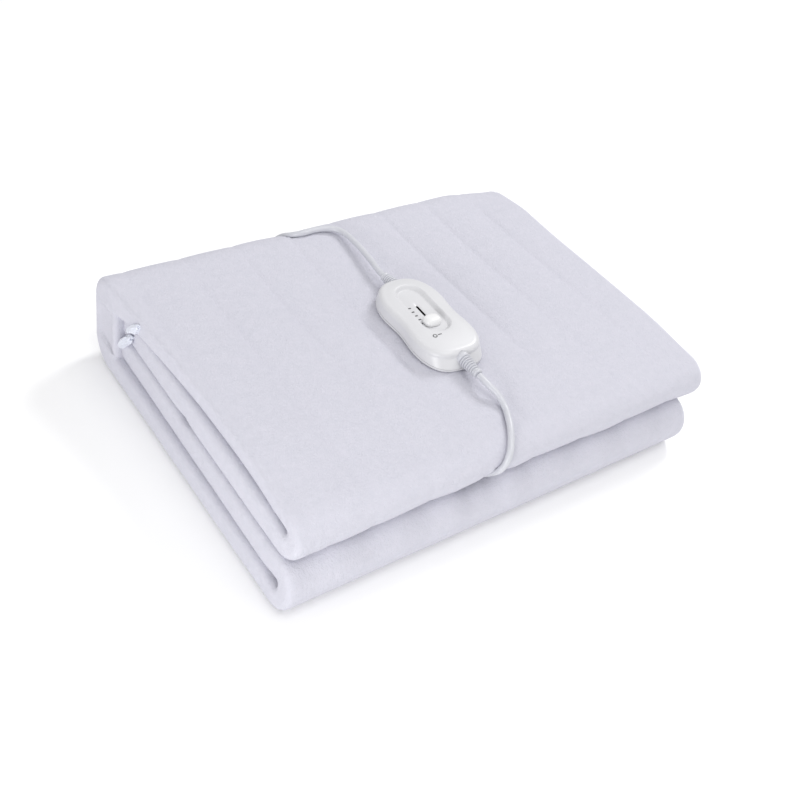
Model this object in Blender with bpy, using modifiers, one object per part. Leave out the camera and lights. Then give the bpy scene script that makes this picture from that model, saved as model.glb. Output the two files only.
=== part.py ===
"""Electric heated blanket, folded, with its slider control and its leads.

The blanket is one piece of fleece that holds its heating wires. It is folded in half across its
width. Both ends are then folded to the middle, and the two halves are closed like a book, which
gives four double layers: two rounded folds at the front and one tall fold at the back.
Metres, +Z up. The stack rests on z = 0 and is centred on the origin; its front faces -Y.
"""
import math

import bmesh
import bpy
from mathutils import Euler, Vector

# ---- Blanket ----
FLEECE = 0.006  # one ply as it lies
PLY_GAP = 0.0050  # air between the two plies of a double layer
DOUBLE = 2 * FLEECE + PLY_GAP
LAYER_GAP = 0.0045  # air between the double layers of one half
BOOK_GAP = 0.0064  # air between the two halves, with room for the blanket lead
LEVEL_1 = DOUBLE / 2
LEVEL_2 = LEVEL_1 + DOUBLE + LAYER_GAP
LEVEL_3 = LEVEL_2 + DOUBLE + BOOK_GAP
LEVEL_4 = LEVEL_3 + DOUBLE + LAYER_GAP
STACK_TOP = LEVEL_4 + DOUBLE / 2
FOLD_RADIUS = (LEVEL_2 - LEVEL_1) / 2  # middle of the cloth round a front fold
SPINE_RADIUS = 0.017  # middle of the cloth round the corners of the back fold
LOWER_FRONT = -0.1600  # outermost line of the lower front fold
UPPER_FRONT = -0.1535
BACK = 0.1600  # outermost line of the back fold
INNER_END = 0.1200  # where the two inner layers end, inside the back fold

# Where the plies lie across the width, at each end of a layer: left and right outermost lines.
# Bow draws the left edge in at the middle of the layer's length.
EDGES = {
    "inner_bottom": {"back": (-0.1986, 0.1904), "front": (-0.2021, 0.1844), "bow": 0.000},
    "outer_bottom": {"back": (-0.2061, 0.1924), "front": (-0.2061, 0.1854), "bow": 0.000},
    "outer_top": {"back": (-0.2036, 0.2059), "front": (-0.1946, 0.1974), "bow": 0.007},
    "inner_top": {"back": (-0.1901, 0.2004), "front": (-0.1956, 0.1944), "bow": 0.000},
}

CHANNEL_PITCH = 0.049  # from one heating wire to the next
CHANNEL_X = 0.0129  # the wire nearest the middle
CHANNEL_DIP = 0.0014  # depth of the trough over a wire
FRONT_SAG = 0.0050  # how far the top drops towards its front fold
FRONT_SAG_RUN = 0.085
CORNER_SAG = 0.0095  # how far it drops towards the right back corner
CORNER_REACH = 0.070
BACK_LIFT = 0.0035  # how far the back fold puffs up
BACK_LIFT_RUN = 0.110
LEAD_DENT = 0.0040  # how deep the supply lead presses into the back fold
LEAD_DENT_AT = (-0.030, 0.150)
LEAD_DENT_REACH = 0.040
CURL_DENT = 0.0042  # how deep the blanket lead presses into the upper front fold
CURL_DENT_AT = Vector((-0.024, -0.153, 0.058))
CURL_DENT_REACH = 0.024
WAVE = 0.0012  # slow unevenness of the folds' fronts
WAVE_LENGTH = 0.120
WAVE_HEIGHT = 0.030  # how far above and below the crease between the halves it fades out

PLY_STEPS = 16  # mesh steps across a ply, two for each channel
HAIRPIN_STEPS = 6
RUN_STEPS = 5
LONG_RUN_STEPS = 7  # along the top layer, which shows
FOLD_STEPS = 7
CORNER_STEPS = 4
CORNER_SHARE = 0.35  # of the edges' change from bottom to top, at each corner of the back fold

# ---- Control ----
CONTROL_LENGTH = 0.1088
CONTROL_WIDTH = 0.0585
CONTROL_HEIGHT = 0.0158
CONTROL_PARTING = 0.0030  # height of the line between base and cover
CONTROL_WALL = 0.0020
CONTROL_AT = Vector((0.0018, -0.0172, STACK_TOP + 0.0004))
CONTROL_YAW = math.radians(-2.5)  # it lies a little askew
FRONT_POWER = 3.2  # how square the outline's front end is
BACK_POWER = 2.7
OUTLINE_POINTS = 40
WAIST = 0.082  # share of the width that the waist takes away
WAIST_LENGTH = 0.0195
SIDE_DRAFT = 0.0004  # how far the side walls lean in, from the parting line to the shoulder
FRONT_DRAFT = 0.0060  # and the end walls
BACK_DRAFT = 0.0012
SHOULDER = 0.0050
SHOULDER_STEPS = 5
CROWN = 0.0010  # how much higher the middle of the top is than its rim
CROWN_INSET = 0.40  # where the level middle starts, as a share of the width
FOOT_ROUND = 0.0018
GAP = 0.0003  # between pieces that touch
BEYOND = 0.0020  # how far a cutter stands out of what it cuts
SHARP_DEGREES = 40  # edges that turn more than this are drawn sharp

RECESS_LENGTH = 0.0615
RECESS_WIDTH = 0.0270
RECESS_FLOOR_WIDTH = 0.0200
RECESS_DEPTH = 0.0032
RECESS_AT = Vector((-0.0008, 0.0092, 0.0))  # from the control's middle
SLOT_WIDTH = 0.0020
SLIDE_TRAVEL = 0.0204  # four steps of the scale
KNOB_AT = Vector((-0.0016, -0.0066, 0.0))  # at rest, the front end of its travel
KNOB_LENGTH = 0.0120
KNOB_WIDTH = 0.0152
KNOB_HEIGHT = 0.0054
KNOB_ROUND = 0.0033
KNOB_STEPS = 24
KNOB_SQUARENESS = 0.75  # below 1, the knob's outline is fuller than an oval
SLOT_PLAY = 0.0010  # room at the ends of the slot
STEM_WIDTH = 0.0012
STEM_LENGTH = 0.0030
STEM_ROOT = 0.0010  # how far the stem goes into the knob
CATCH_WIDTH = 0.0060
CATCH_LENGTH = 0.0060
CATCH_HEIGHT = 0.0012
CATCH_ROOT = 0.0002

# ---- Leads ----
LEAD = 0.0052
RELIEF_FRONT_LENGTH = 0.0242  # with the part that sits in the housing
RELIEF_BACK_LENGTH = 0.0196
RELIEF_HEIGHT = 0.0084  # of the leads above the foot of the control
RELIEF_ROOT = 0.0052  # radius in the housing's wall
RELIEF_TIP = 0.0040
RELIEF_RIBS = 6
BACK_RELIEF_TURN = math.radians(6)  # the back one is bent to the left
RELIEF_BURIED = 0.0080
RELIEF_END = 0.0030  # smooth length at the tip
RELIEF_COLLAR = 0.0015  # smooth length at the wall
GROOVE = 0.0009
GROOVE_SHARES = (0.35, 0.45, 0.90)  # end of the groove, start and end of the rib, of their pitch
RELIEF_HOLE = 0.0150  # depth of the passage at each end of the housing
ROUND_STEPS = 20

# From the control's back, over the back fold, down to the surface and on to the coil.
SUPPLY_ROUTE = (
    (0.0034, 0.0491, 0.0922),
    (0.0031, 0.0547, 0.0921),
    (0.0058, 0.0693, 0.0920),
    (0.0073, 0.0808, 0.0917),
    (0.0088, 0.0938, 0.0912),
    (0.0094, 0.1070, 0.0907),
    (0.0092, 0.1179, 0.0901),
    (0.0069, 0.1256, 0.0895),
    (0.0023, 0.1300, 0.0894),
    (-0.0032, 0.1328, 0.0892),
    (-0.0092, 0.1347, 0.0886),
    (-0.0158, 0.1355, 0.0881),
    (-0.0224, 0.1362, 0.0873),
    (-0.0270, 0.1368, 0.0867),
    (-0.0300, 0.1370, 0.0865),
    (-0.0340, 0.1464, 0.0843),
    (-0.0375, 0.1555, 0.0793),
    (-0.0391, 0.1628, 0.0692),
    (-0.0400, 0.1650, 0.0580),
    (-0.0415, 0.1650, 0.0430),
    (-0.0407, 0.1660, 0.0280),
    (-0.0365, 0.1685, 0.0145),
    (-0.0275, 0.1715, 0.0060),
    (-0.0187, 0.1730, 0.0029),
    (0.0050, 0.1728, 0.0029),
    (0.0300, 0.1715, 0.0029),
    (0.0560, 0.1710, 0.0032),
    (0.0768, 0.1702, 0.0040),
)
# From the control's front, over the upper front fold and in between the two halves.
BLANKET_ROUTE = (
    (-0.0013, -0.0886, 0.0922),
    (-0.0015, -0.0930, 0.0921),
    (-0.0013, -0.0970, 0.0916),
    (0.0002, -0.1010, 0.0903),
    (0.0021, -0.1050, 0.0883),
    (0.0034, -0.1105, 0.0856),
    (0.0033, -0.1173, 0.0826),
    (0.0010, -0.1232, 0.0823),
    (-0.0033, -0.1327, 0.0820),
    (-0.0072, -0.1412, 0.0807),
    (-0.0102, -0.1477, 0.0775),
    (-0.0123, -0.1518, 0.0739),
    (-0.0143, -0.1541, 0.0702),
    (-0.0173, -0.1552, 0.0660),
    (-0.0210, -0.1543, 0.0614),
    (-0.0252, -0.1529, 0.0565),
    (-0.0292, -0.1505, 0.0508),
    (-0.0325, -0.1465, 0.0458),
    (-0.0350, -0.1370, 0.0419),
    (-0.0370, -0.1260, 0.0417),
    (-0.0375, -0.1000, 0.0417),
    (-0.0356, -0.0600, 0.0417),
    (-0.0346, -0.0200, 0.0417),
    (-0.0356, 0.0200, 0.0417),
    (-0.0376, 0.0600, 0.0417),
    (-0.0376, 0.1000, 0.0417),
)
# From the coil to the plug.
PLUG_ROUTE = (
    (0.0772, 0.2284, 0.0100),
    (0.0704, 0.2250, 0.0092),
    (0.0634, 0.2195, 0.0080),
    (0.0544, 0.2165, 0.0070),
    (0.0434, 0.2165, 0.0070),
)
LEAD_STEP = 0.0110  # between the points of a lead's tube
CURVE_PARTS = 12  # fine points between two points of a route, before they are spread evenly

COIL_AT = Vector((0.1024, 0.1990, 0.0))
COIL_RADIUS = 0.0275  # middle of the turns
COIL_BUNDLE = 0.0072  # half the thickness of the turns
COIL_STEPS = 36
COIL_SECTION_STEPS = 12
COIL_SQUARENESS = 0.70
TIE_THICKNESS = 0.0008
TIE_WIDTH = 0.0080
TIE_STEPS = 16
TIE_SQUARENESS = 0.55

PLUG_LENGTH = 0.0380
PLUG_WIDTH = 0.0340
PLUG_TAIL_WIDTH = 0.0150
PLUG_TAIL_SHARE = 0.80  # of the thickness, at the tail
PLUG_THICKNESS = 0.0137
PLUG_ROUND = 0.0025
PLUG_RELIEF = 0.0150
PLUG_RELIEF_ROOT = 0.0050
PLUG_RELIEF_NECK = (0.0042, 0.0040)  # radius and place of its narrow part
PLUG_RELIEF_WALL = 0.0006  # round the lead at its tip
PIN_LENGTH = 0.0190
PIN_DIAMETER = 0.0040
PIN_END = 0.0012  # radius of its flat end
PIN_CHAMFER = 0.0010
PIN_STEPS = 12
PIN_PITCH = 0.0186


# ---- Helpers ----
def smooth(share):
    """A soft step from 0 to 1."""
    share = min(max(share, 0.0), 1.0)
    return share * share * (3 - 2 * share)


def mix(first, last, share):
    return first + (last - first) * share


def clear_scene():
    for thing in list(bpy.data.objects):
        bpy.data.objects.remove(thing, do_unlink=True)


def make_collection(name, hidden=False):
    group = bpy.data.collections.new(name)
    bpy.context.scene.collection.children.link(group)
    group.hide_render = hidden
    return group


def make_material(name, color, roughness, metallic=0.0):
    material = bpy.data.materials.new(name)
    material.use_nodes = True
    shader = material.node_tree.nodes["Principled BSDF"]
    shader.inputs["Base Color"].default_value = (*color, 1.0)
    shader.inputs["Roughness"].default_value = roughness
    shader.inputs["Metallic"].default_value = metallic
    return material


def add_object(name, data, group, material=None):
    thing = bpy.data.objects.new(name, data)
    group.objects.link(thing)
    if material is not None:
        data.materials.append(material)
    return thing


def mesh_from_bmesh(name, bm):
    mesh = bpy.data.meshes.new(name)
    bmesh.ops.recalc_face_normals(bm, faces=bm.faces)
    bm.to_mesh(mesh)
    bm.free()
    return mesh


def power(value, exponent):
    """A power of the value's size that keeps its sign."""
    return math.copysign(abs(value) ** exponent, value)


def shade(thing):
    thing.data.shade_smooth()
    thing.data.set_sharp_from_angle(angle=math.radians(SHARP_DEGREES))


def as_cutter(thing):
    thing.hide_render = True
    thing.display_type = "WIRE"


def boolean(thing, other, operation):
    modifier = thing.modifiers.new(operation.title(), "BOOLEAN")
    modifier.operation = operation
    modifier.object = other


# ---- Blanket: the path of its middle, seen from the side ----
def run(layer, height, from_end, steps):
    """Stations along a flat layer. from_end is 'back' or 'front', where the run starts."""
    to_end = "front" if from_end == "back" else "back"
    fold = FOLD_RADIUS + DOUBLE / 2
    front = (LOWER_FRONT if height < LEVEL_3 else UPPER_FRONT) + fold
    back = INNER_END if "inner" in layer else BACK - DOUBLE / 2 - SPINE_RADIUS
    ends = {"front": front, "back": back}
    heading = math.pi if from_end == "back" else 0.0
    edges = EDGES[layer]
    stations = []
    for step in range(steps + 1):
        share = step / steps
        y = mix(ends[from_end], ends[to_end], share)
        bow = edges["bow"] * 4 * share * (1 - share)
        left = mix(edges[from_end][0], edges[to_end][0], share) + bow
        right = mix(edges[from_end][1], edges[to_end][1], share)
        stations.append((y, height, heading, left, right))
    return stations


def bend(before, after, center, radius, turn_from, turn_to, steps, edge_shares=(0.0, 1.0)):
    """Stations round an arc that turns left, between the stations before and after it."""
    stations = []
    for step in range(1, steps):
        share = step / steps
        heading = mix(turn_from, turn_to, share)
        y = center[0] + radius * math.sin(heading)
        z = center[1] - radius * math.cos(heading)
        edge = smooth(mix(*edge_shares, share))
        left = mix(before[3], after[3], edge)
        right = mix(before[4], after[4], edge)
        stations.append((y, z, heading, left, right))
    return stations


def blanket_path():
    """Stations (y, z, heading, left, right), from one end of the blanket to the other."""
    inner_bottom = run("inner_bottom", LEVEL_2, "back", RUN_STEPS)
    outer_bottom = run("outer_bottom", LEVEL_1, "front", RUN_STEPS)
    outer_top = run("outer_top", LEVEL_4, "back", LONG_RUN_STEPS)
    inner_top = run("inner_top", LEVEL_3, "front", RUN_STEPS)
    turn = math.pi
    lower_center = (inner_bottom[-1][0], (LEVEL_1 + LEVEL_2) / 2)
    upper_center = (outer_top[-1][0], (LEVEL_3 + LEVEL_4) / 2)
    lower_fold = bend(inner_bottom[-1], outer_bottom[0], lower_center, FOLD_RADIUS,
                      turn, 2 * turn, FOLD_STEPS)
    upper_fold = bend(outer_top[-1], inner_top[0], upper_center, FOLD_RADIUS,
                      turn, 2 * turn, FOLD_STEPS)
    spine_y = outer_bottom[-1][0]
    low = (spine_y, LEVEL_1 + SPINE_RADIUS)
    high = (spine_y, LEVEL_4 - SPINE_RADIUS)
    low_corner = bend(outer_bottom[-1], outer_top[0], low, SPINE_RADIUS,
                      0.0, turn / 2, CORNER_STEPS, (0.0, CORNER_SHARE))
    high_corner = bend(outer_bottom[-1], outer_top[0], high, SPINE_RADIUS,
                       turn / 2, turn, CORNER_STEPS, (1 - CORNER_SHARE, 1.0))
    wall = []
    for height, share in ((low[1], CORNER_SHARE), (high[1], 1 - CORNER_SHARE)):
        edge = smooth(share)
        wall.append((spine_y + SPINE_RADIUS, height, turn / 2,
                     mix(outer_bottom[-1][3], outer_top[0][3], edge),
                     mix(outer_bottom[-1][4], outer_top[0][4], edge)))
    return (inner_bottom + lower_fold + outer_bottom + low_corner + wall + high_corner
            + outer_top + upper_fold + inner_top)


def ply_section(left, right):
    """The hairpin of a double layer, seen from the front: (x, offset from the layer's middle)."""
    half = (FLEECE + PLY_GAP) / 2
    turn_x = left + DOUBLE / 2
    points = []
    for step in range(PLY_STEPS + 1):
        points.append((mix(right, turn_x, step / PLY_STEPS), half))
    for step in range(1, HAIRPIN_STEPS):
        angle = math.pi * step / HAIRPIN_STEPS
        points.append((turn_x - half * math.sin(angle), half * math.cos(angle)))
    for step in range(PLY_STEPS + 1):
        points.append((mix(turn_x, right, step / PLY_STEPS), -half))
    return points


def settle(x, y, z):
    """Lets the tidy stack sink into its real, uneven shape. The lower half stays flat."""
    upper = smooth((z - LEVEL_3) / (STACK_TOP - LEVEL_3))
    trough = 0.5 + 0.5 * math.cos(2 * math.pi * (x - CHANNEL_X) / CHANNEL_PITCH)
    front = smooth((UPPER_FRONT + FRONT_SAG_RUN - y) / FRONT_SAG_RUN)
    corner_x = smooth((x - (EDGES["outer_top"]["back"][1] - CORNER_REACH)) / CORNER_REACH)
    corner_y = smooth((y - (BACK - CORNER_REACH)) / CORNER_REACH)
    drop = CHANNEL_DIP * trough + FRONT_SAG * front + CORNER_SAG * corner_x * corner_y
    drop -= BACK_LIFT * smooth((y - (BACK - BACK_LIFT_RUN)) / BACK_LIFT_RUN)
    from_lead = math.hypot(x - LEAD_DENT_AT[0], y - LEAD_DENT_AT[1])
    drop += LEAD_DENT * smooth(1 - from_lead / LEAD_DENT_REACH)
    from_crease = abs(z - (LEVEL_2 + LEVEL_3) / 2)
    at_front = smooth(y / UPPER_FRONT) * (1 - smooth(from_crease / WAVE_HEIGHT))
    wave = WAVE * at_front * math.sin(2 * math.pi * x / WAVE_LENGTH)
    point = Vector((x, y + wave, z - drop * upper))
    fold_middle = Vector((x, UPPER_FRONT + FOLD_RADIUS + DOUBLE / 2, (LEVEL_3 + LEVEL_4) / 2))
    curl = CURL_DENT * smooth(1 - (point - CURL_DENT_AT).length / CURL_DENT_REACH)
    return point + curl * (fold_middle - point).normalized()


def blanket_point(station, place):
    y, z, heading, _left, _right = station
    x, offset = place
    return settle(x, y - offset * math.sin(heading), z + offset * math.cos(heading))


def make_blanket(group, material):
    path = blanket_path()
    sections = [ply_section(left, right) for _y, _z, _heading, left, right in path]
    rows = len(path)
    columns = len(sections[0])
    bm = bmesh.new()
    bmesh.ops.create_grid(bm, x_segments=columns - 1, y_segments=rows - 1, size=1.0)
    bm.verts.ensure_lookup_table()
    for index, vert in enumerate(bm.verts):
        row, column = divmod(index, columns)
        vert.co = blanket_point(path[row], sections[row][column])
    mesh = bpy.data.meshes.new("blanket")
    bm.to_mesh(mesh)
    bm.free()
    blanket = add_object("blanket", mesh, group, material)
    thickness = blanket.modifiers.new("Fleece", "SOLIDIFY")
    thickness.thickness = FLEECE
    thickness.offset = 0.0
    thickness.use_even_offset = True
    mesh.shade_smooth()
    return blanket


# ---- Control ----
def on_control(thing, offset, tilt=0.0, turn=0.0):
    """Puts a piece in its place on the control, tilted and then turned about the vertical."""
    thing.location = CONTROL_AT + Euler((0, 0, CONTROL_YAW)).to_matrix() @ Vector(offset)
    thing.rotation_euler = (tilt, 0, CONTROL_YAW + turn)
    return thing


def control_outline(side=0.0, front=0.0, back=0.0):
    """The waisted outline of the housing, drawn in at its sides and ends, as points (x, y)."""
    points = []
    for step in range(OUTLINE_POINTS):
        angle = 2 * math.pi * (step + 0.5) / OUTLINE_POINTS
        at_back = math.sin(angle) > 0
        exponent = 2 / (BACK_POWER if at_back else FRONT_POWER)
        across = power(math.cos(angle), exponent)
        along = power(math.sin(angle), exponent)
        y = (CONTROL_LENGTH / 2 - (back if at_back else front)) * along
        narrow = 1 - WAIST * math.exp(-(y / WAIST_LENGTH) ** 2)
        points.append(((CONTROL_WIDTH / 2 * narrow - side) * across, y))
    return points


def stadium(length, width, steps=8):
    """A slot outline with round ends, long along Y."""
    radius = width / 2
    points = []
    for end in (1, -1):
        for step in range(steps + 1):
            angle = math.pi * step / steps
            points.append((end * radius * math.cos(angle),
                           end * (length / 2 - radius + radius * math.sin(angle))))
    return points


def prism(name, outline, low, high, group, material=None, top_outline=None):
    """A solid between two outlines with the same number of points."""
    bm = bmesh.new()
    bottom = [bm.verts.new((x, y, low)) for x, y in outline]
    top = [bm.verts.new((x, y, high)) for x, y in (top_outline or outline)]
    bm.faces.new(bottom)
    bm.faces.new(top)
    for index in range(len(bottom)):
        after = (index + 1) % len(bottom)
        bm.faces.new((bottom[index], bottom[after], top[after], top[index]))
    return add_object(name, mesh_from_bmesh(name, bm), group, material)


def cover_levels():
    """The cover's outlines as (side, front, back, height), from the parting line upwards."""
    shoulder = CONTROL_HEIGHT - CROWN - SHOULDER
    levels = [(0.0, 0.0, 0.0, CONTROL_PARTING + GAP / 2)]
    for step in range(SHOULDER_STEPS + 1):
        angle = math.pi / 2 * step / SHOULDER_STEPS
        inset = SHOULDER * (1 - math.cos(angle))
        levels.append((SIDE_DRAFT + inset, FRONT_DRAFT + inset, BACK_DRAFT + inset,
                       shoulder + SHOULDER * math.sin(angle)))
    middle = CONTROL_WIDTH * CROWN_INSET
    levels.append((middle, middle, middle, CONTROL_HEIGHT))
    return levels


def loft(name, levels, group, material):
    """A solid through control outlines, one for each level."""
    bm = bmesh.new()
    rings = [[bm.verts.new((x, y, height)) for x, y in control_outline(side, front, back)]
             for side, front, back, height in levels]
    bm.faces.new(rings[0])
    bm.faces.new(rings[-1])
    for lower, upper in zip(rings, rings[1:]):
        for index in range(OUTLINE_POINTS):
            after = (index + 1) % OUTLINE_POINTS
            bm.faces.new((lower[index], lower[after], upper[after], upper[index]))
    return add_object(name, mesh_from_bmesh(name, bm), group, material)


def round_rim(thing, height, width, segments):
    """Bevels the edges of the rim at one height."""
    mesh = thing.data
    weights = mesh.attributes.new("bevel_weight_edge", "FLOAT", "EDGE")
    for edge in mesh.edges:
        ends = [mesh.vertices[index].co.z for index in edge.vertices]
        weights.data[edge.index].value = float(max(abs(end - height) for end in ends) < 1e-5)
    bevel = thing.modifiers.new("Rounded", "BEVEL")
    bevel.limit_method = "WEIGHT"
    bevel.width = width
    bevel.segments = segments


def relief_root(end, turn, depth):
    """A place on a strain relief's axis, this deep inside the housing."""
    return (end * depth * math.sin(turn), end * (CONTROL_LENGTH / 2 - depth * math.cos(turn)),
            RELIEF_HEIGHT)


def relief_hole(name, end, turn, group):
    """The round passage for a strain relief. end is 1 at the back and -1 at the front."""
    outline = []
    for step in range(ROUND_STEPS):
        angle = 2 * math.pi * step / ROUND_STEPS
        outline.append(((RELIEF_ROOT + GAP) * math.cos(angle),
                        (RELIEF_ROOT + GAP) * math.sin(angle)))
    hole = prism(name, outline, -RELIEF_HOLE / 2, RELIEF_HOLE / 2, group)
    on_control(hole, relief_root(end, turn, RELIEF_HOLE / 2 - BEYOND), -end * math.pi / 2, turn)
    as_cutter(hole)
    return hole


def make_control(group, cutters, material):
    wall = CONTROL_WALL
    base = prism("control_base", control_outline(), 0.0, CONTROL_PARTING - GAP / 2,
                 group, material)
    on_control(base, (0, 0, 0))
    round_rim(base, 0.0, FOOT_ROUND, 3)
    tray = prism("base_hollow", control_outline(wall, wall, wall), FOOT_ROUND + GAP,
                 CONTROL_HEIGHT, cutters)
    on_control(tray, (0, 0, 0))
    as_cutter(tray)
    boolean(base, tray, "DIFFERENCE")

    cover = loft("control_cover", cover_levels(), group, material)
    on_control(cover, (0, 0, 0))
    floor = CONTROL_HEIGHT - RECESS_DEPTH
    hollow = prism("cover_hollow",
                   control_outline(wall + SIDE_DRAFT, wall + FRONT_DRAFT, wall + BACK_DRAFT),
                   -BEYOND, floor - wall, cutters)
    on_control(hollow, (0, 0, 0))
    taper = (RECESS_WIDTH - RECESS_FLOOR_WIDTH) / RECESS_DEPTH
    recess = prism("cover_recess",
                   stadium(RECESS_LENGTH - (RECESS_WIDTH - RECESS_FLOOR_WIDTH),
                           RECESS_FLOOR_WIDTH),
                   floor, CONTROL_HEIGHT + BEYOND, cutters,
                   top_outline=stadium(RECESS_LENGTH + taper * BEYOND,
                                       RECESS_WIDTH + taper * BEYOND))
    on_control(recess, RECESS_AT)
    slot = prism("cover_slot", stadium(SLIDE_TRAVEL + STEM_LENGTH + SLOT_PLAY, SLOT_WIDTH, 4),
                 floor - wall - BEYOND, CONTROL_HEIGHT, cutters)
    on_control(slot, KNOB_AT + Vector((0, SLIDE_TRAVEL / 2, 0)))
    holes = [relief_hole("back_relief_hole", 1, BACK_RELIEF_TURN, cutters),
             relief_hole("front_relief_hole", -1, 0.0, cutters)]
    for cutter in (hollow, recess, slot, *holes):
        as_cutter(cutter)
        boolean(cover, cutter, "DIFFERENCE")
    for shell in (base, cover):
        shade(shell)


def knob_outline():
    """A full oval, wide along X."""
    points = []
    for step in range(KNOB_STEPS):
        angle = 2 * math.pi * (step + 0.5) / KNOB_STEPS
        points.append((KNOB_WIDTH / 2 * power(math.cos(angle), KNOB_SQUARENESS),
                       KNOB_LENGTH / 2 * power(math.sin(angle), KNOB_SQUARENESS)))
    return points


def make_knob(group, cutters, material):
    knob = prism("slider_knob", knob_outline(), 0.0, KNOB_HEIGHT, group, material)
    foot = KNOB_AT + Vector((0, 0, CONTROL_HEIGHT - RECESS_DEPTH + GAP))
    on_control(knob, foot)
    round_rim(knob, KNOB_HEIGHT, KNOB_ROUND, 4)
    below = CONTROL_WALL + 3 * GAP
    stem = box("knob_stem", (STEM_WIDTH, STEM_LENGTH, below + STEM_ROOT), cutters)
    on_control(stem, foot + Vector((0, 0, (STEM_ROOT - below) / 2)))
    catch = box("knob_catch", (CATCH_WIDTH, CATCH_LENGTH, CATCH_HEIGHT), cutters)
    on_control(catch, foot + Vector((0, 0, CATCH_ROOT - below - CATCH_HEIGHT / 2)))
    for piece in (stem, catch):
        as_cutter(piece)
        boolean(knob, piece, "UNION")
    shade(knob)


def box(name, size, group, material=None):
    bm = bmesh.new()
    bmesh.ops.create_cube(bm, size=1.0)
    bmesh.ops.scale(bm, vec=size, verts=bm.verts)
    return add_object(name, mesh_from_bmesh(name, bm), group, material)


# ---- Strain reliefs ----
def turned(name, profile, group, material, steps=ROUND_STEPS):
    """A solid turned round Z from a profile (radius, z) that runs from its top to its bottom."""
    bm = bmesh.new()
    verts = [bm.verts.new((radius, 0.0, z)) for radius, z in profile]
    for first, second in zip(verts, verts[1:]):
        bm.edges.new((first, second))
    mesh = bpy.data.meshes.new(name)
    bm.to_mesh(mesh)
    bm.free()
    thing = add_object(name, mesh, group, material)
    screw = thing.modifiers.new("Turn", "SCREW")
    screw.axis = "Z"
    screw.angle = 2 * math.pi
    screw.steps = steps
    screw.render_steps = steps
    screw.use_merge_vertices = True
    screw.merge_threshold = 1e-5
    screw.use_smooth_shade = True
    return thing


def relief_profile(length, ribs):
    """From the tip (top) to the root (bottom), with grooves between the ribs."""
    round_end = GROOVE / 2
    profile = [(0.0, length), (RELIEF_TIP - round_end, length), (RELIEF_TIP, length - round_end)]
    pitch = (length - RELIEF_BURIED - RELIEF_END - RELIEF_COLLAR) / ribs
    groove_end, rib_start, rib_end = (share * pitch for share in GROOVE_SHARES)
    for rib in range(ribs):
        top = length - RELIEF_END - rib * pitch
        radius = mix(RELIEF_TIP, RELIEF_ROOT, (rib + 0.5) / ribs)
        profile += [(radius - GROOVE, top), (radius - GROOVE, top - groove_end),
                    (radius, top - rib_start), (radius, top - rib_end)]
    profile += [(RELIEF_ROOT, RELIEF_BURIED + GAP), (RELIEF_ROOT, 0.0), (0.0, 0.0)]
    return profile


def make_reliefs(group, material):
    front = turned("front_strain_relief", relief_profile(RELIEF_FRONT_LENGTH, RELIEF_RIBS),
                   group, material)
    on_control(front, relief_root(-1, 0.0, RELIEF_BURIED), math.pi / 2)
    back = turned("back_strain_relief", relief_profile(RELIEF_BACK_LENGTH, RELIEF_RIBS // 2),
                  group, material)
    on_control(back, relief_root(1, BACK_RELIEF_TURN, RELIEF_BURIED), -math.pi / 2,
               BACK_RELIEF_TURN)


# ---- Leads ----
def smooth_route(route, step):
    """Evenly spaced points on a smooth curve through the route's points."""
    points = [Vector(point) for point in route]
    points = [2 * points[0] - points[1]] + points + [2 * points[-1] - points[-2]]
    fine = []
    for index in range(1, len(points) - 2):
        before, start, end, after = points[index - 1:index + 3]
        for part in range(CURVE_PARTS):
            t = part / CURVE_PARTS
            fine.append(0.5 * (2 * start + (end - before) * t
                               + (2 * before - 5 * start + 4 * end - after) * t ** 2
                               + (3 * start - before - 3 * end + after) * t ** 3))
    fine.append(points[-2])
    total = sum((b - a).length for a, b in zip(fine, fine[1:]))
    count = max(2, round(total / step))
    even = [fine[0]]
    walked = 0.0
    for first, second in zip(fine, fine[1:]):
        piece = (second - first).length
        while len(even) < count and walked + piece >= len(even) * total / count:
            even.append(first.lerp(second, (len(even) * total / count - walked) / piece))
        walked += piece
    return even[:count] + [fine[-1]]


def make_lead(name, route, group, material):
    curve = bpy.data.curves.new(name, "CURVE")
    curve.dimensions = "3D"
    curve.bevel_depth = LEAD / 2
    curve.bevel_resolution = 2
    curve.use_fill_caps = True
    points = smooth_route(route, LEAD_STEP)
    spline = curve.splines.new("POLY")
    spline.points.add(len(points) - 1)
    for place, point in zip(spline.points, points):
        place.co = (*point, 1.0)
    return add_object(name, curve, group, material)


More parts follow.
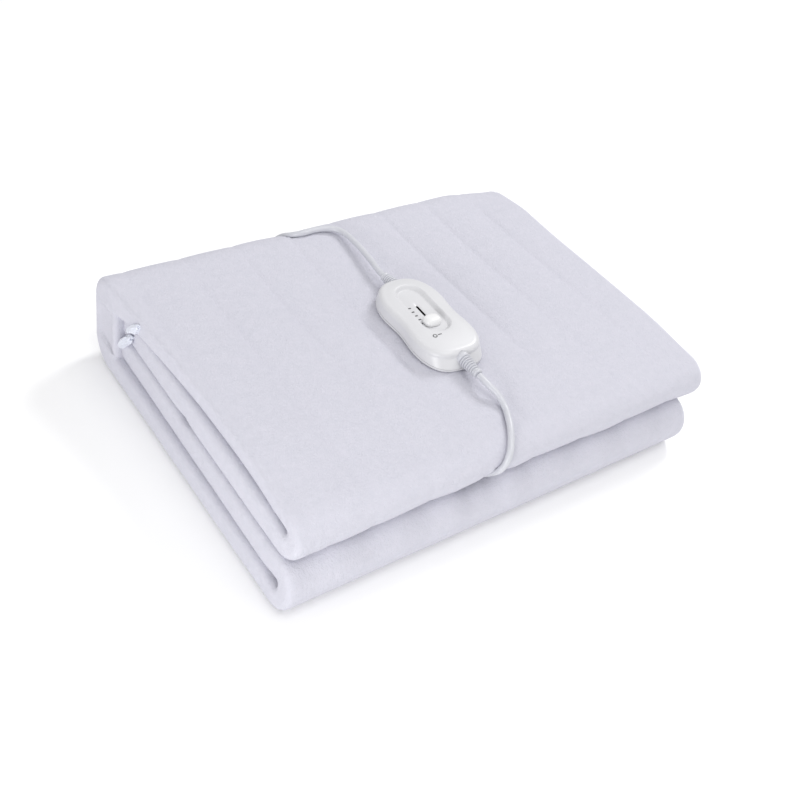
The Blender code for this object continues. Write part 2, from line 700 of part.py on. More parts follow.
def make_coil(group, material, tie_material):
    """The wound lead as a turned ring, and the tie round its turns."""
    lift = TIE_THICKNESS + 2 * GAP
    half = COIL_BUNDLE
    profile = []
    for step in range(COIL_SECTION_STEPS + 1):
        angle = math.pi / 2 - 2 * math.pi * step / COIL_SECTION_STEPS
        across = power(math.cos(angle), COIL_SQUARENESS)
        up = power(math.sin(angle), COIL_SQUARENESS)
        profile.append((COIL_RADIUS + half * across, half * up))
    ring = turned("lead_coil", profile, group, material, COIL_STEPS)
    ring.location = COIL_AT + Vector((0, 0, lift + half))

    loop = bpy.data.curves.new("coil_tie", "CURVE")
    loop.dimensions = "2D"
    loop.fill_mode = "BOTH"
    loop.extrude = TIE_WIDTH / 2
    for reach in (half + 2 * GAP, half + 2 * GAP + TIE_THICKNESS):
        spline = loop.splines.new("POLY")
        spline.points.add(TIE_STEPS - 1)
        spline.use_cyclic_u = True
        for step, place in enumerate(spline.points):
            angle = 2 * math.pi * (step + 0.5) / TIE_STEPS
            place.co = (reach * power(math.cos(angle), TIE_SQUARENESS),
                        reach * power(math.sin(angle), TIE_SQUARENESS), 0.0, 1.0)
    tie = add_object("coil_tie", loop, group, tie_material)
    tie.rotation_euler = (math.pi / 2, 0, 0)
    tie.location = ring.location + Vector((COIL_RADIUS, 0, 0))


def make_plug(group, body_material, pin_material):
    """A flat two-pin plug that lies beside the coil, with its pins towards -X."""
    tail = Vector(PLUG_ROUTE[-1])
    relief = turned("plug_strain_relief", [
        (0.0, PLUG_RELIEF), (LEAD / 2 + PLUG_RELIEF_WALL, PLUG_RELIEF), PLUG_RELIEF_NECK,
        (PLUG_RELIEF_ROOT, 0.0), (0.0, 0.0)], group, body_material)
    relief.rotation_euler = (0, math.pi / 2, 0)
    relief.location = tail - Vector((PLUG_RELIEF + GAP, 0, 0))

    body = box("plug_body", (PLUG_LENGTH, PLUG_WIDTH, PLUG_THICKNESS - 2 * GAP),
               group, body_material)
    for vert in body.data.vertices:
        if vert.co.x > 0:
            vert.co.y *= PLUG_TAIL_WIDTH / PLUG_WIDTH
            vert.co.z *= PLUG_TAIL_SHARE
    body.location = relief.location - Vector((PLUG_LENGTH / 2 + GAP, 0, 0))
    body.location.z = PLUG_THICKNESS / 2
    bevel = body.modifiers.new("Rounded", "BEVEL")
    bevel.width = PLUG_ROUND
    bevel.segments = 3
    shade(body)
    for name, side in (("plug_pin_left", -1), ("plug_pin_right", 1)):
        pin = turned(name, [
            (0.0, PIN_LENGTH), (PIN_END, PIN_LENGTH),
            (PIN_DIAMETER / 2, PIN_LENGTH - PIN_CHAMFER), (PIN_DIAMETER / 2, 0.0), (0.0, 0.0)],
            group, pin_material, PIN_STEPS)
        pin.rotation_euler = (0, -math.pi / 2, 0)
        pin.location = body.location + Vector((-PLUG_LENGTH / 2 - GAP, side * PIN_PITCH / 2, 0))


def main():
    clear_scene()
    group = make_collection("heated_blanket")
    cutters = make_collection("cutters", hidden=True)
    fleece = make_material("white_fleece", (0.80, 0.80, 0.86), 0.95)
    plastic = make_material("white_abs", (0.80, 0.80, 0.79), 0.25)
    rubber = make_material("white_pvc", (0.78, 0.78, 0.80), 0.45)
    tie = make_material("grey_tie", (0.35, 0.35, 0.36), 0.6)
    nickel = make_material("nickel", (0.60, 0.58, 0.55), 0.25, 1.0)
    make_blanket(group, fleece)
    make_control(group, cutters, plastic)
    make_knob(group, cutters, plastic)
    make_reliefs(group, rubber)
    make_lead("supply_lead", SUPPLY_ROUTE, group, rubber)
    make_lead("blanket_lead", BLANKET_ROUTE, group, rubber)
    make_lead("plug_lead", PLUG_ROUTE, group, rubber)
    make_coil(group, rubber, tie)
    make_plug(group, rubber, nickel)


main()
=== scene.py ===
# %% [markdown]
# # Electric heated blanket, folded, with its slider control
#
# A small heated blanket of white fleece. It is folded to a flat stack and its slider control lies
# on top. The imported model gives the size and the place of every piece. This lesson dresses it: each
# step says what a piece is on the real object, how it could be made, and why it is made this way.

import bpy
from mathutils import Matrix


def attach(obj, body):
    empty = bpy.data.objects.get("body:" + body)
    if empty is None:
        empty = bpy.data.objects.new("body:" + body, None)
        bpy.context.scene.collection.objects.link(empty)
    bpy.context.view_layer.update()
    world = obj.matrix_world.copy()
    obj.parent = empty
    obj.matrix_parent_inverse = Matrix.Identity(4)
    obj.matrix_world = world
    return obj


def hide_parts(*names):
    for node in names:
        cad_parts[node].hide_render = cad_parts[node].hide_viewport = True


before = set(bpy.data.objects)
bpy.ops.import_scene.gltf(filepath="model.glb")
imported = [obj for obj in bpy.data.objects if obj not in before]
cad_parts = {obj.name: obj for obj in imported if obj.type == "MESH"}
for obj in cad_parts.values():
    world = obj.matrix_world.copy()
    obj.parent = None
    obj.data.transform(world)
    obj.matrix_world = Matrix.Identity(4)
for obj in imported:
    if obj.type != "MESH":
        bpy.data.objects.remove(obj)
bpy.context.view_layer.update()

import math

import bmesh
import bpy
import numpy as np
from mathutils import Euler, Matrix, Vector, noise

BODY = "blanket_and_control"
KNOB_BODY = "knob"

# %% [markdown]
# ## The camera
#
# The photograph was taken from the front left corner, about 40 degrees above the surface, with the
# camera a little tilted. The camera could be moved by eye until the edges agree. Here its angles
# and distance are solved from the blanket's own edges and then written as plain numbers, because
# then each piece can be judged at its true place in the picture.

# %% Camera
AZIMUTH = math.radians(-42.1)
ELEVATION = math.radians(41.0)
ROLL = math.radians(11.2)
DISTANCE = 0.828
TARGET = Vector((-0.0326, -0.041, 0.040))
FOCAL_LENGTH = 46.5
SENSOR_WIDTH = 36.0


def make_camera():
    """A camera that looks at TARGET from its azimuth and elevation, turned by ROLL."""
    back = Vector((math.sin(AZIMUTH) * math.cos(ELEVATION),
                   -math.cos(AZIMUTH) * math.cos(ELEVATION), math.sin(ELEVATION)))
    level = Vector((math.cos(AZIMUTH), math.sin(AZIMUTH), 0.0))
    upright = back.cross(level)
    right = math.cos(ROLL) * level + math.sin(ROLL) * upright
    up = math.cos(ROLL) * upright - math.sin(ROLL) * level
    data = bpy.data.cameras.new("camera")
    data.sensor_width = SENSOR_WIDTH
    data.lens = FOCAL_LENGTH
    camera = bpy.data.objects.new("camera", data)
    bpy.context.scene.collection.objects.link(camera)
    axes = Matrix((right, up, back)).transposed().to_4x4()
    camera.matrix_world = Matrix.Translation(TARGET + back * DISTANCE) @ axes
    bpy.context.scene.camera = camera
    return camera


camera = make_camera()
print("camera at", [round(value, 3) for value in camera.matrix_world.translation])

# %% [markdown]
# ## Named sizes
#
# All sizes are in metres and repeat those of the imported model, except that the fold of the third
# layer stands out up to 6 mm further at its left end, as in the photograph. The stack has four
# double layers: the blanket is folded in half across its width, so that each layer has two plies,
# then both ends are folded to the middle, and the two halves are closed like a book.

# %% Sizes of the folded blanket
FLEECE = 0.006
PLY_GAP = 0.0050
DOUBLE = 2 * FLEECE + PLY_GAP
LAYER_GAP = 0.0045
BOOK_GAP = 0.0064
LEVEL_1 = DOUBLE / 2
LEVEL_2 = LEVEL_1 + DOUBLE + LAYER_GAP
LEVEL_3 = LEVEL_2 + DOUBLE + BOOK_GAP
LEVEL_4 = LEVEL_3 + DOUBLE + LAYER_GAP
STACK_TOP = LEVEL_4 + DOUBLE / 2
FOLD_RADIUS = (LEVEL_2 - LEVEL_1) / 2
SPINE_RADIUS = 0.017
LOWER_FRONT = -0.1600
UPPER_FRONT = -0.1535
BACK = 0.1600
INNER_END = 0.1200
EDGES = {
    "inner_bottom": {"back": (-0.1986, 0.1904), "front": (-0.2021, 0.1844), "bow": 0.000},
    "outer_bottom": {"back": (-0.2061, 0.1924), "front": (-0.2061, 0.1854), "bow": 0.000},
    "outer_top": {"back": (-0.2036, 0.2059), "front": (-0.1946, 0.1974), "bow": 0.007},
    "inner_top": {"back": (-0.1960, 0.2004), "front": (-0.1985, 0.1944), "bow": 0.000},
}
CHANNEL_PITCH = 0.049
CHANNEL_X = 0.0129
print(f"stack {STACK_TOP * 1000:.1f} mm high, wires {CHANNEL_PITCH * 1000:.0f} mm apart")

# %% [markdown]
# ## Small helpers
#
# A maker picks colours as sRGB hex values, while the shader wants linear light, so one function
# turns one into the other. Another adds a node with its settings and links, which keeps each
# material short enough to read in one go. The rest place a piece on its body, or blend numbers.

# %% Colours and nodes
def linear(hex_color):
    """An sRGB hex colour as linear red, green, blue and alpha."""
    values = [int(hex_color[place:place + 2], 16) / 255 for place in (1, 3, 5)]
    return (*[v / 12.92 if v <= 0.04045 else ((v + 0.055) / 1.055) ** 2.4 for v in values], 1.0)


def add_node(tree, kind, settings=None, links=None):
    """Adds a node. Settings name its attributes or sockets, and links give a socket's source."""
    node = tree.nodes.new(kind)
    for name, value in (settings or {}).items():
        if name in node.inputs:
            node.inputs[name].default_value = value
        else:
            setattr(node, name, value)
    for name, source in (links or {}).items():
        tree.links.new(source, node.inputs[name])
    return node


def start_material(name, settings):
    """A material with its shader's constants set straight on the sockets."""
    material = bpy.data.materials.new(name)
    material.use_nodes = True
    shader = material.node_tree.nodes["Principled BSDF"]
    for socket, value in settings.items():
        shader.inputs[socket].default_value = value
    return material, material.node_tree, shader


print("#ffffff is", linear("#ffffff")[:3])


# %% Pieces and numbers
def add_piece(name, mesh, material, place=None, body=BODY):
    """A new piece in its place, which then rides on its body."""
    piece = bpy.data.objects.new(name, mesh)
    bpy.context.scene.collection.objects.link(piece)
    piece.data.materials.clear()
    piece.data.materials.append(material)
    if place is not None:
        piece.matrix_world = place
    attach(piece, body)
    return piece


def finish_mesh(bm, name):
    """The built faces as a smooth-shaded mesh."""
    mesh = bpy.data.meshes.new(name)
    bm.to_mesh(mesh)
    bm.free()
    mesh.shade_smooth()
    return mesh


def smooth(share):
    """A soft step from 0 to 1."""
    share = min(max(share, 0.0), 1.0)
    return share * share * (3 - 2 * share)


def mix(first, last, share):
    """A value or a place between first and last."""
    return first + (last - first) * share


def power(value, exponent):
    """A power of the value's size that keeps its sign."""
    return math.copysign(abs(value) ** exponent, value)


print("half way along a soft step is", smooth(0.5))

# %% [markdown]
# ## The leads' sheath
#
# The leads are flexible PVC, extruded, in white. It is a satin plastic: soft highlights, with a
# faint long waviness from the extruder. Flexible PVC has an IOR near 1.53.

# %% White flexible PVC
def white_pvc():
    """Satin, with the faint waviness of an extruded sheath."""
    material, tree, shader = start_material("white_flexible_pvc", {
        "Roughness": 0.36, "IOR": 1.53})
    where = add_node(tree, "ShaderNodeTexCoord")
    sheath = add_node(tree, "ShaderNodeTexNoise", {"Scale": 260.0, "Detail": 3.0},
                      {"Vector": where.outputs["Object"]})
    tint = add_node(tree, "ShaderNodeValToRGB", links={"Fac": sheath.outputs["Fac"]})
    tint.color_ramp.elements[0].position = 0.3
    tint.color_ramp.elements[0].color = linear("#c6c7ce")
    tint.color_ramp.elements[1].position = 0.7
    tint.color_ramp.elements[1].color = linear("#cbccd2")
    bump = add_node(tree, "ShaderNodeBump", {"Strength": 0.05, "Distance": 0.0001},
                    {"Height": sheath.outputs["Fac"]})
    tree.links.new(tint.outputs["Color"], shader.inputs["Base Color"])
    tree.links.new(bump.outputs["Normal"], shader.inputs["Normal"])
    return material


pvc = white_pvc()
print("made", pvc.name)

# %% [markdown]
# ## The leads
#
# The supply lead leaves the back of the control, hangs a little above the fleece, turns to the left
# at the back edge and drops behind the stack. The photograph shows it only that far. Such a
# blanket has about 1.8 m of lead, so the rest is wound in a neat tied coil behind the stack, with
# its plug beside it. The second lead leaves the control's front, lies on the upper fold and curls
# in between the two halves. Each lead is one curve, because a curve keeps its thickness in every
# bend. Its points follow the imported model's route, except that the blanket's lead bends a few
# millimetres further to the left where it curls in, and that both lie deeper in the fleece where
# they leave the top.

# %% Routes of the leads
LEAD = 0.0052
SUPPLY_ROUTE = (
    (0.0034, 0.0491, 0.0922), (0.0031, 0.0547, 0.0921), (0.0058, 0.0693, 0.0920),
    (0.0073, 0.0808, 0.0917), (0.0088, 0.0938, 0.0912), (0.0094, 0.1070, 0.0907),
    (0.0092, 0.1179, 0.0901), (0.0069, 0.1256, 0.0895), (0.0023, 0.1300, 0.0894),
    (-0.0032, 0.1328, 0.0892), (-0.0092, 0.1347, 0.0886), (-0.0158, 0.1355, 0.0881),
    (-0.0224, 0.1362, 0.0873), (-0.0265, 0.1370, 0.0866), (-0.0293, 0.1388, 0.0854),
    (-0.0312, 0.1428, 0.0832), (-0.0330, 0.1488, 0.0794), (-0.0350, 0.1545, 0.0742),
    (-0.0372, 0.1597, 0.0668), (-0.0395, 0.1632, 0.0565), (-0.0413, 0.1648, 0.0430),
    (-0.0407, 0.1660, 0.0280),
    (-0.0365, 0.1685, 0.0145), (-0.0275, 0.1715, 0.0060), (-0.0187, 0.1730, 0.0029),
    (0.0050, 0.1728, 0.0029), (0.0300, 0.1715, 0.0029), (0.0560, 0.1710, 0.0032),
    (0.0768, 0.1702, 0.0040),
)
BLANKET_ROUTE = (
    (-0.0013, -0.0886, 0.0922), (-0.0015, -0.0930, 0.0921), (-0.0013, -0.0970, 0.0916),
    (0.0002, -0.1010, 0.0903), (0.0021, -0.1050, 0.0883), (0.0034, -0.1105, 0.0856),
    (0.0032, -0.1173, 0.0826), (0.0007, -0.1232, 0.0823), (-0.0042, -0.1327, 0.0820),
    (-0.0094, -0.1412, 0.0807), (-0.0138, -0.1477, 0.0775), (-0.0170, -0.1518, 0.0739),
    (-0.0196, -0.1541, 0.0702), (-0.0218, -0.1549, 0.0658), (-0.0236, -0.1536, 0.0604),
    (-0.0250, -0.1505, 0.0552), (-0.0264, -0.1468, 0.0518), (-0.0284, -0.1425, 0.0480),
    (-0.0315, -0.1355, 0.0440), (-0.0345, -0.1240, 0.0419), (-0.0370, -0.1000, 0.0417),
    (-0.0356, -0.0600, 0.0417), (-0.0346, -0.0200, 0.0417), (-0.0356, 0.0200, 0.0417),
    (-0.0376, 0.0600, 0.0417), (-0.0376, 0.1000, 0.0417),
)
PLUG_ROUTE = (
    (0.0772, 0.2284, 0.0100), (0.0704, 0.2250, 0.0092), (0.0634, 0.2195, 0.0080),
    (0.0544, 0.2165, 0.0070), (0.0434, 0.2165, 0.0070),
)
COIL_AT = Vector((0.1024, 0.1990, 0.0014))
COIL_RADIUS = 0.0275
COIL_FROM = math.radians(262)
COIL_TO = math.radians(105 + 9 * 360)
print(len(SUPPLY_ROUTE), "points to the coil")


# %% Even points on a smooth route
FINE_STEPS = 12


def smooth_route(route, step):
    """Evenly spaced points on a smooth curve through the route's points."""
    points = [Vector(point) for point in route]
    points = [2 * points[0] - points[1]] + points + [2 * points[-1] - points[-2]]
    fine = []
    for index in range(1, len(points) - 2):
        before, start, end, after = points[index - 1:index + 3]
        for part in range(FINE_STEPS):
            t = part / FINE_STEPS
            fine.append(0.5 * (2 * start + (end - before) * t
                               + (2 * before - 5 * start + 4 * end - after) * t ** 2
                               + (3 * start - before - 3 * end + after) * t ** 3))
    fine.append(points[-2])
    total = sum((b - a).length for a, b in zip(fine, fine[1:]))
    count = max(2, round(total / step))
    even = [fine[0]]
    walked = 0.0
    for first, second in zip(fine, fine[1:]):
        piece = (second - first).length
        while len(even) < count and walked + piece >= len(even) * total / count:
            even.append(first.lerp(second, (len(even) * total / count - walked) / piece))
        walked += piece
    return even[:count] + [fine[-1]]


print("a step of 50 mm gives", len(smooth_route(SUPPLY_ROUTE, 0.05)), "points")


# %% The coil's turns
TURN_PLACES = ((1, 0), (0, 0), (-1, 0), (-1, 1), (0, 1), (-1, 2), (0, 2), (1, 1), (1, 2))
STEPS_A_TURN = 20
STEPS_ACROSS = 0.25  # the last quarter of each turn steps over to the next turn's place


def coil_points():
    """The turns, laid beside and on each other, from the outer bottom one to the outer top one."""
    count = round((COIL_TO - COIL_FROM) / (2 * math.pi) * STEPS_A_TURN)
    points = []
    for step in range(count + 1):
        angle = mix(COIL_FROM, COIL_TO, step / count)
        turn = (angle - COIL_FROM) / (2 * math.pi)
        index = min(int(turn), len(TURN_PLACES) - 1)
        after = min(index + 1, len(TURN_PLACES) - 1)
        share = smooth((turn - index - 1 + STEPS_ACROSS) / STEPS_ACROSS)
        across = mix(TURN_PLACES[index][0], TURN_PLACES[after][0], share)
        up = mix(TURN_PLACES[index][1], TURN_PLACES[after][1], share)
        radius = COIL_RADIUS + LEAD * across
        points.append(COIL_AT + Vector((radius * math.cos(angle), radius * math.sin(angle),
                                        LEAD / 2 + LEAD * up)))
    return points


print("coil of", len(TURN_PLACES), "turns")


# %% The two cords
POINT_STEP = 0.011
PLUG_STEP = 0.009


def make_lead(name, points):
    """A round cord through the points."""
    curve = bpy.data.curves.new(name, "CURVE")
    curve.dimensions = "3D"
    curve.bevel_depth = LEAD / 2
    curve.bevel_resolution = 4
    curve.resolution_u = 6
    curve.use_fill_caps = True
    spline = curve.splines.new("BEZIER")
    spline.bezier_points.add(len(points) - 1)
    for place, point in zip(spline.bezier_points, points):
        place.co = point
        place.handle_left_type = place.handle_right_type = "AUTO"
    return add_piece(name, curve, pvc)


supply_points = (smooth_route(SUPPLY_ROUTE, POINT_STEP) + coil_points()
                 + smooth_route(PLUG_ROUTE, PLUG_STEP))
supply = make_lead("supply_cord", supply_points)
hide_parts("supply_lead", "lead_coil", "plug_lead")
blanket_points = smooth_route(BLANKET_ROUTE, POINT_STEP)
blanket_cord = make_lead("blanket_cord", blanket_points)
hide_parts("blanket_lead")

# %% [markdown]
# ## The fleece
#
# The blanket is a lofty polyester fleece, knitted and then brushed on both sides until the loops
# stand up as a soft pile. Light sinks into the pile, so the surface has no highlights and its edges
# glow a little. It is white with a cold tint and looks even, with a very fine grain. A sheen layer
# gives the glow. One noise tints the clumps of pile, and two finer ones raise them: clumps of about
# 2 mm and tufts of about 1 mm, brushed downwards. The true fibres are far too fine to show, so the
# tufts are drawn coarser. Near the cut edges the colour is painted lighter, a painted highlight for
# the light the edges catch.

# %% White brushed fleece
def white_fleece():
    """Pile that glows at its edges, with a painted highlight along its cut edges."""
    material, tree, shader = start_material("white_brushed_fleece", {
        "Roughness": 0.95, "IOR": 1.46, "Specular IOR Level": 0.10,
        "Sheen Weight": 0.20, "Sheen Roughness": 0.50, "Sheen Tint": linear("#f6f6ff")})
    where = add_node(tree, "ShaderNodeTexCoord")
    nap = add_node(tree, "ShaderNodeTexNoise", {"Scale": 150.0, "Detail": 5.0, "Roughness": 0.65},
                   {"Vector": where.outputs["Object"]})
    brushed = add_node(tree, "ShaderNodeMapping", {"Scale": (1.0, 1.0, 0.45)},
                       {"Vector": where.outputs["Object"]})
    tufts = add_node(tree, "ShaderNodeTexNoise", {"Scale": 900.0, "Detail": 3.0, "Roughness": 0.7},
                     {"Vector": brushed.outputs["Vector"]})
    clumps = add_node(tree, "ShaderNodeTexNoise", {"Scale": 420.0, "Detail": 2.0},
                      {"Vector": brushed.outputs["Vector"]})
    tint = add_node(tree, "ShaderNodeValToRGB", links={"Fac": nap.outputs["Fac"]})
    tint.color_ramp.elements[0].position = 0.30
    tint.color_ramp.elements[0].color = linear("#c9c9d3")
    tint.color_ramp.elements[1].position = 0.70
    tint.color_ramp.elements[1].color = linear("#cecdd7")
    # painted highlight: the colour turns lighter within 4 mm of a cut edge
    from_edge = add_node(tree, "ShaderNodeAttribute", {"attribute_name": "from_edge"})
    cut_edge_highlight = add_node(tree, "ShaderNodeMapRange", {"From Min": 0.0, "From Max": 0.004,
                                                   "To Min": 0.7, "To Max": 0.0},
                      {"Value": from_edge.outputs["Fac"]})
    color = add_node(tree, "ShaderNodeMix", {"data_type": "RGBA"})
    color.inputs[7].default_value = linear("#e6e8f0")
    tree.links.new(cut_edge_highlight.outputs["Result"], color.inputs[0])
    tree.links.new(tint.outputs["Color"], color.inputs[6])
    both = add_node(tree, "ShaderNodeMath", {"operation": "ADD"})
    tree.links.new(tufts.outputs["Fac"], both.inputs[0])
    tree.links.new(clumps.outputs["Fac"], both.inputs[1])
    bump = add_node(tree, "ShaderNodeBump", {"Strength": 0.55, "Distance": 0.0010},
                    {"Height": both.outputs["Value"]})
    tree.links.new(color.outputs[2], shader.inputs["Base Color"])
    tree.links.new(bump.outputs["Normal"], shader.inputs["Normal"])
    return material


fleece = white_fleece()
print("made", fleece.name)

# %% [markdown]
# ## The blanket's folds
#
# The blanket is one sheet. It could be dropped in folds by a cloth simulation, but a machine-folded
# product has a known order of folds, so it is drawn instead: a path of stations follows the
# middle of the double layer from one end of the blanket to the other. Each station keeps its
# height, its heading and its left and right edges. It also keeps how far the double layer can
# swell: on its inside, towards the layer it is folded onto, and on its outside, in the gap between
# the two halves of the book. At the front folds the lower half swells more, so the crease between
# the halves lies high, as in the photograph.

# %% Room to swell
ROOM_IN = {"inner_bottom": 0.0034, "outer_bottom": 0.0034, "outer_top": 0.0033,
           "inner_top": 0.0033}
ROOM_OUT = {"inner_bottom": 0.0044, "outer_bottom": 0.0, "outer_top": 0.0, "inner_top": 0.0044}
FRONT_FILL = {"inner_bottom": 1.35, "outer_bottom": 1.35, "outer_top": 0.45, "inner_top": 0.45}
FRONT_FULL = 0.050
FOLD_CLEAR = 0.020  # next to a front fold the layers part, over this length
OPEN_FRONT = 0.85  # share of ROOM_IN that the two top layers keep in front of OPEN_FROM
OPEN_FROM = -0.080
OPEN_RUN = 0.160
RUN_STEPS = 36
TOP_STEPS = 64
FOLD_STEPS = 18
print("room inside", ROOM_IN)


# %% Stations on a layer and round a fold
def run(layer, height, from_end, steps=RUN_STEPS):
    """Stations along a flat layer. from_end is 'back' or 'front', where the run starts."""
    to_end = "front" if from_end == "back" else "back"
    fold = FOLD_RADIUS + DOUBLE / 2
    front = (LOWER_FRONT if height < LEVEL_3 else UPPER_FRONT) + fold
    back = INNER_END if "inner" in layer else BACK - DOUBLE / 2 - SPINE_RADIUS
    ends = {"front": front, "back": back}
    edges = EDGES[layer]
    stations = []
    for step in range(steps + 1):
        share = step / steps
        y = mix(ends[from_end], ends[to_end], share)
        bow = edges["bow"] * 4 * share * (1 - share)
        stations.append({
            "y": y, "z": height, "heading": math.pi if from_end == "back" else 0.0,
            "left": mix(edges[from_end][0], edges[to_end][0], share) + bow,
            "right": mix(edges[from_end][1], edges[to_end][1], share),
            "room_in": ROOM_IN[layer] * smooth((y - front) / FOLD_CLEAR)
            * mix(OPEN_FRONT if "top" in layer else 1.0, 1.0, smooth((y - OPEN_FROM) / OPEN_RUN)),
            "room_out": ROOM_OUT[layer],
            "at_front": FRONT_FILL[layer] * (1 - smooth((y - front) / FRONT_FULL))})
    return stations


def bend(before, after, center, radius, turn_from, turn_to, steps=FOLD_STEPS, edge_shares=(0, 1)):
    """Stations round an arc that turns left, between the stations before and after it."""
    stations = []
    for step in range(1, steps):
        share = step / steps
        heading = mix(turn_from, turn_to, share)
        edge = smooth(mix(*edge_shares, share))
        stations.append({
            "y": center[0] + radius * math.sin(heading),
            "z": center[1] - radius * math.cos(heading), "heading": heading,
            "left": mix(before["left"], after["left"], edge),
            "right": mix(before["right"], after["right"], edge),
            "room_in": 0.0,
            "room_out": before["room_out"] * (1 - smooth(1.5 * share))
            + after["room_out"] * (1 - smooth(1.5 * (1 - share))),
            "at_front": before["at_front"]})
    return stations


print("each front fold has", FOLD_STEPS - 1, "stations")

# %% The back fold and the whole path
CORNER_STEPS = 9
WALL_STEPS = 6
CORNER_SHARE = 0.35  # of the edges' change from bottom to top, at each corner of the back fold


def spine_stations(below, above):
    """The back fold: a corner, a wall and a corner."""
    y = below["y"]
    low = (y, LEVEL_1 + SPINE_RADIUS)
    high = (y, LEVEL_4 - SPINE_RADIUS)
    stations = bend(below, above, low, SPINE_RADIUS, 0, math.pi / 2, CORNER_STEPS,
                    (0, CORNER_SHARE))
    for step in range(WALL_STEPS + 1):
        share = step / WALL_STEPS
        edge = smooth(mix(CORNER_SHARE, 1 - CORNER_SHARE, share))
        stations.append({
            "y": y + SPINE_RADIUS, "z": mix(low[1], high[1], share), "heading": math.pi / 2,
            "left": mix(below["left"], above["left"], edge),
            "right": mix(below["right"], above["right"], edge)})
    stations += bend(below, above, high, SPINE_RADIUS, math.pi / 2, math.pi, CORNER_STEPS,
                     (1 - CORNER_SHARE, 1))
    for station in stations:
        station.update(room_in=0.0, room_out=0.0, at_front=0.0)
    return stations


def blanket_path():
    """All stations, from one end of the blanket to the other."""
    inner_bottom = run("inner_bottom", LEVEL_2, "back")
    outer_bottom = run("outer_bottom", LEVEL_1, "front")
    outer_top = run("outer_top", LEVEL_4, "back", TOP_STEPS)
    inner_top = run("inner_top", LEVEL_3, "front")
    lower = (inner_bottom[-1]["y"], (LEVEL_1 + LEVEL_2) / 2)
    upper = (outer_top[-1]["y"], (LEVEL_3 + LEVEL_4) / 2)
    lower_fold = bend(inner_bottom[-1], outer_bottom[0], lower, FOLD_RADIUS, math.pi, 2 * math.pi)
    upper_fold = bend(outer_top[-1], inner_top[0], upper, FOLD_RADIUS, math.pi, 2 * math.pi)
    spine = spine_stations(outer_bottom[-1], outer_top[0])
    return inner_bottom + lower_fold + outer_bottom + spine + outer_top + upper_fold + inner_top


path = blanket_path()
print(len(path), "stations")

# %% [markdown]
# ## The closed left end of the back fold
#
# Seen from the left, the back fold isn't an open tunnel: its inside ply puffs forward there until
# it rests on the ends of the inner layers. Each station of the back fold therefore also has a
# second place for its inside ply, on a rounded rectangle that just fills the tunnel.

# %% Where the inside ply puffs to
HALF = (FLEECE + PLY_GAP) / 2
PUFF_BACK = INNER_END + 0.0022
PUFF_ROUND = 0.0045
PUFF_LOW = LEVEL_1 + HALF + ROOM_IN["outer_bottom"]
PUFF_HIGH = LEVEL_4 - HALF - ROOM_IN["outer_top"]
PUFF_FROM = 0.100
PUFF_FADE = 0.012
PUFF_LEFT = -0.100  # it is fully puffed out left of this, and not at all as far to the right
TINY = 1e-6


def puffed(station):
    """Where the inside ply lies (y, z) where the tunnel is closed, or None off the back fold."""
    y, z, heading = station["y"], station["z"], station["heading"]
    corner_y = PUFF_BACK - PUFF_ROUND
    spine_y = BACK - DOUBLE / 2 - SPINE_RADIUS
    flat = y <= spine_y + TINY and (z < LEVEL_1 + TINY or z > LEVEL_4 - TINY)
    if flat:
        if y < PUFF_FROM:
            return None
        share = (y - PUFF_FROM) / (spine_y - PUFF_FROM)
        return mix(PUFF_FROM, corner_y, share), PUFF_LOW if z < LEVEL_2 else PUFF_HIGH
    if y < spine_y:
        return None
    if abs(heading - math.pi / 2) < TINY:
        share = (z - LEVEL_1 - SPINE_RADIUS) / (LEVEL_4 - LEVEL_1 - 2 * SPINE_RADIUS)
        return PUFF_BACK, mix(PUFF_LOW + PUFF_ROUND, PUFF_HIGH - PUFF_ROUND, share)
    corner_z = PUFF_LOW + PUFF_ROUND if heading < math.pi / 2 else PUFF_HIGH - PUFF_ROUND
    return (corner_y + PUFF_ROUND * math.sin(heading), corner_z - PUFF_ROUND * math.cos(heading))


print("tunnel closed at y =", PUFF_BACK)

# %% [markdown]
# ## The blanket settles
#
# A folded blanket isn't a machined block: the top drops towards its folds, sinks at the right back
# corner, puffs up along the back, and has a shallow trough over each heating wire. Both leads press
# a dent into it, and the fleece rises a little round the control, which lies in it. These are soft
# functions of the place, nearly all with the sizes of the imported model. Only the leads' wide dents
# are shallower, because each lead also presses a narrow groove below. The weld line in the middle
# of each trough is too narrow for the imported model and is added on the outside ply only.

# %% Sizes of the settling
CHANNEL_DIP = 0.0014
BACK_FADE = 0.055  # so far from the back edge the troughs begin to fade, over BACK_FADE_RUN
BACK_FADE_RUN = 0.040
TROUGH_AT_BACK = 0.35
FRONT_SAG = 0.0050
FRONT_SAG_RUN = 0.085
CORNER_SAG = 0.0095
CORNER_REACH = 0.070
BACK_LIFT = 0.0035
BACK_LIFT_RUN = 0.110
LEAD_DENT = 0.0012
LEAD_DENT_AT = (-0.030, 0.150)
LEAD_DENT_REACH = 0.040
CURL_DENT = 0.0020
CURL_DENT_AT = Vector((-0.024, -0.153, 0.058))
CURL_DENT_REACH = 0.024
WAVE = 0.0012
WAVE_LENGTH = 0.120
WAVE_HEIGHT = 0.030
SEAM_DEPTH = 0.0012
SEAM_HALF_WIDTH = 0.0040
CONTROL_LENGTH = 0.1088
CONTROL_WIDTH = 0.0585
CONTROL_AT = Vector((0.0018, -0.0172, STACK_TOP + 0.0004))
CONTROL_YAW = math.radians(-2.5)
NEST = 0.0004
NEST_OFF = 0.003
NEST_WIDTH = 0.006
print("weld lines", SEAM_DEPTH * 1000, "mm deep")


# %% Settling
def from_wire(x):
    """Distance to the nearest heating wire, with its sign."""
    return (x - CHANNEL_X + CHANNEL_PITCH / 2) % CHANNEL_PITCH - CHANNEL_PITCH / 2


def trough_at(x):
    """1 over a heating wire and 0 midway between two."""
    return 0.5 + 0.5 * math.cos(2 * math.pi * from_wire(x) / CHANNEL_PITCH)


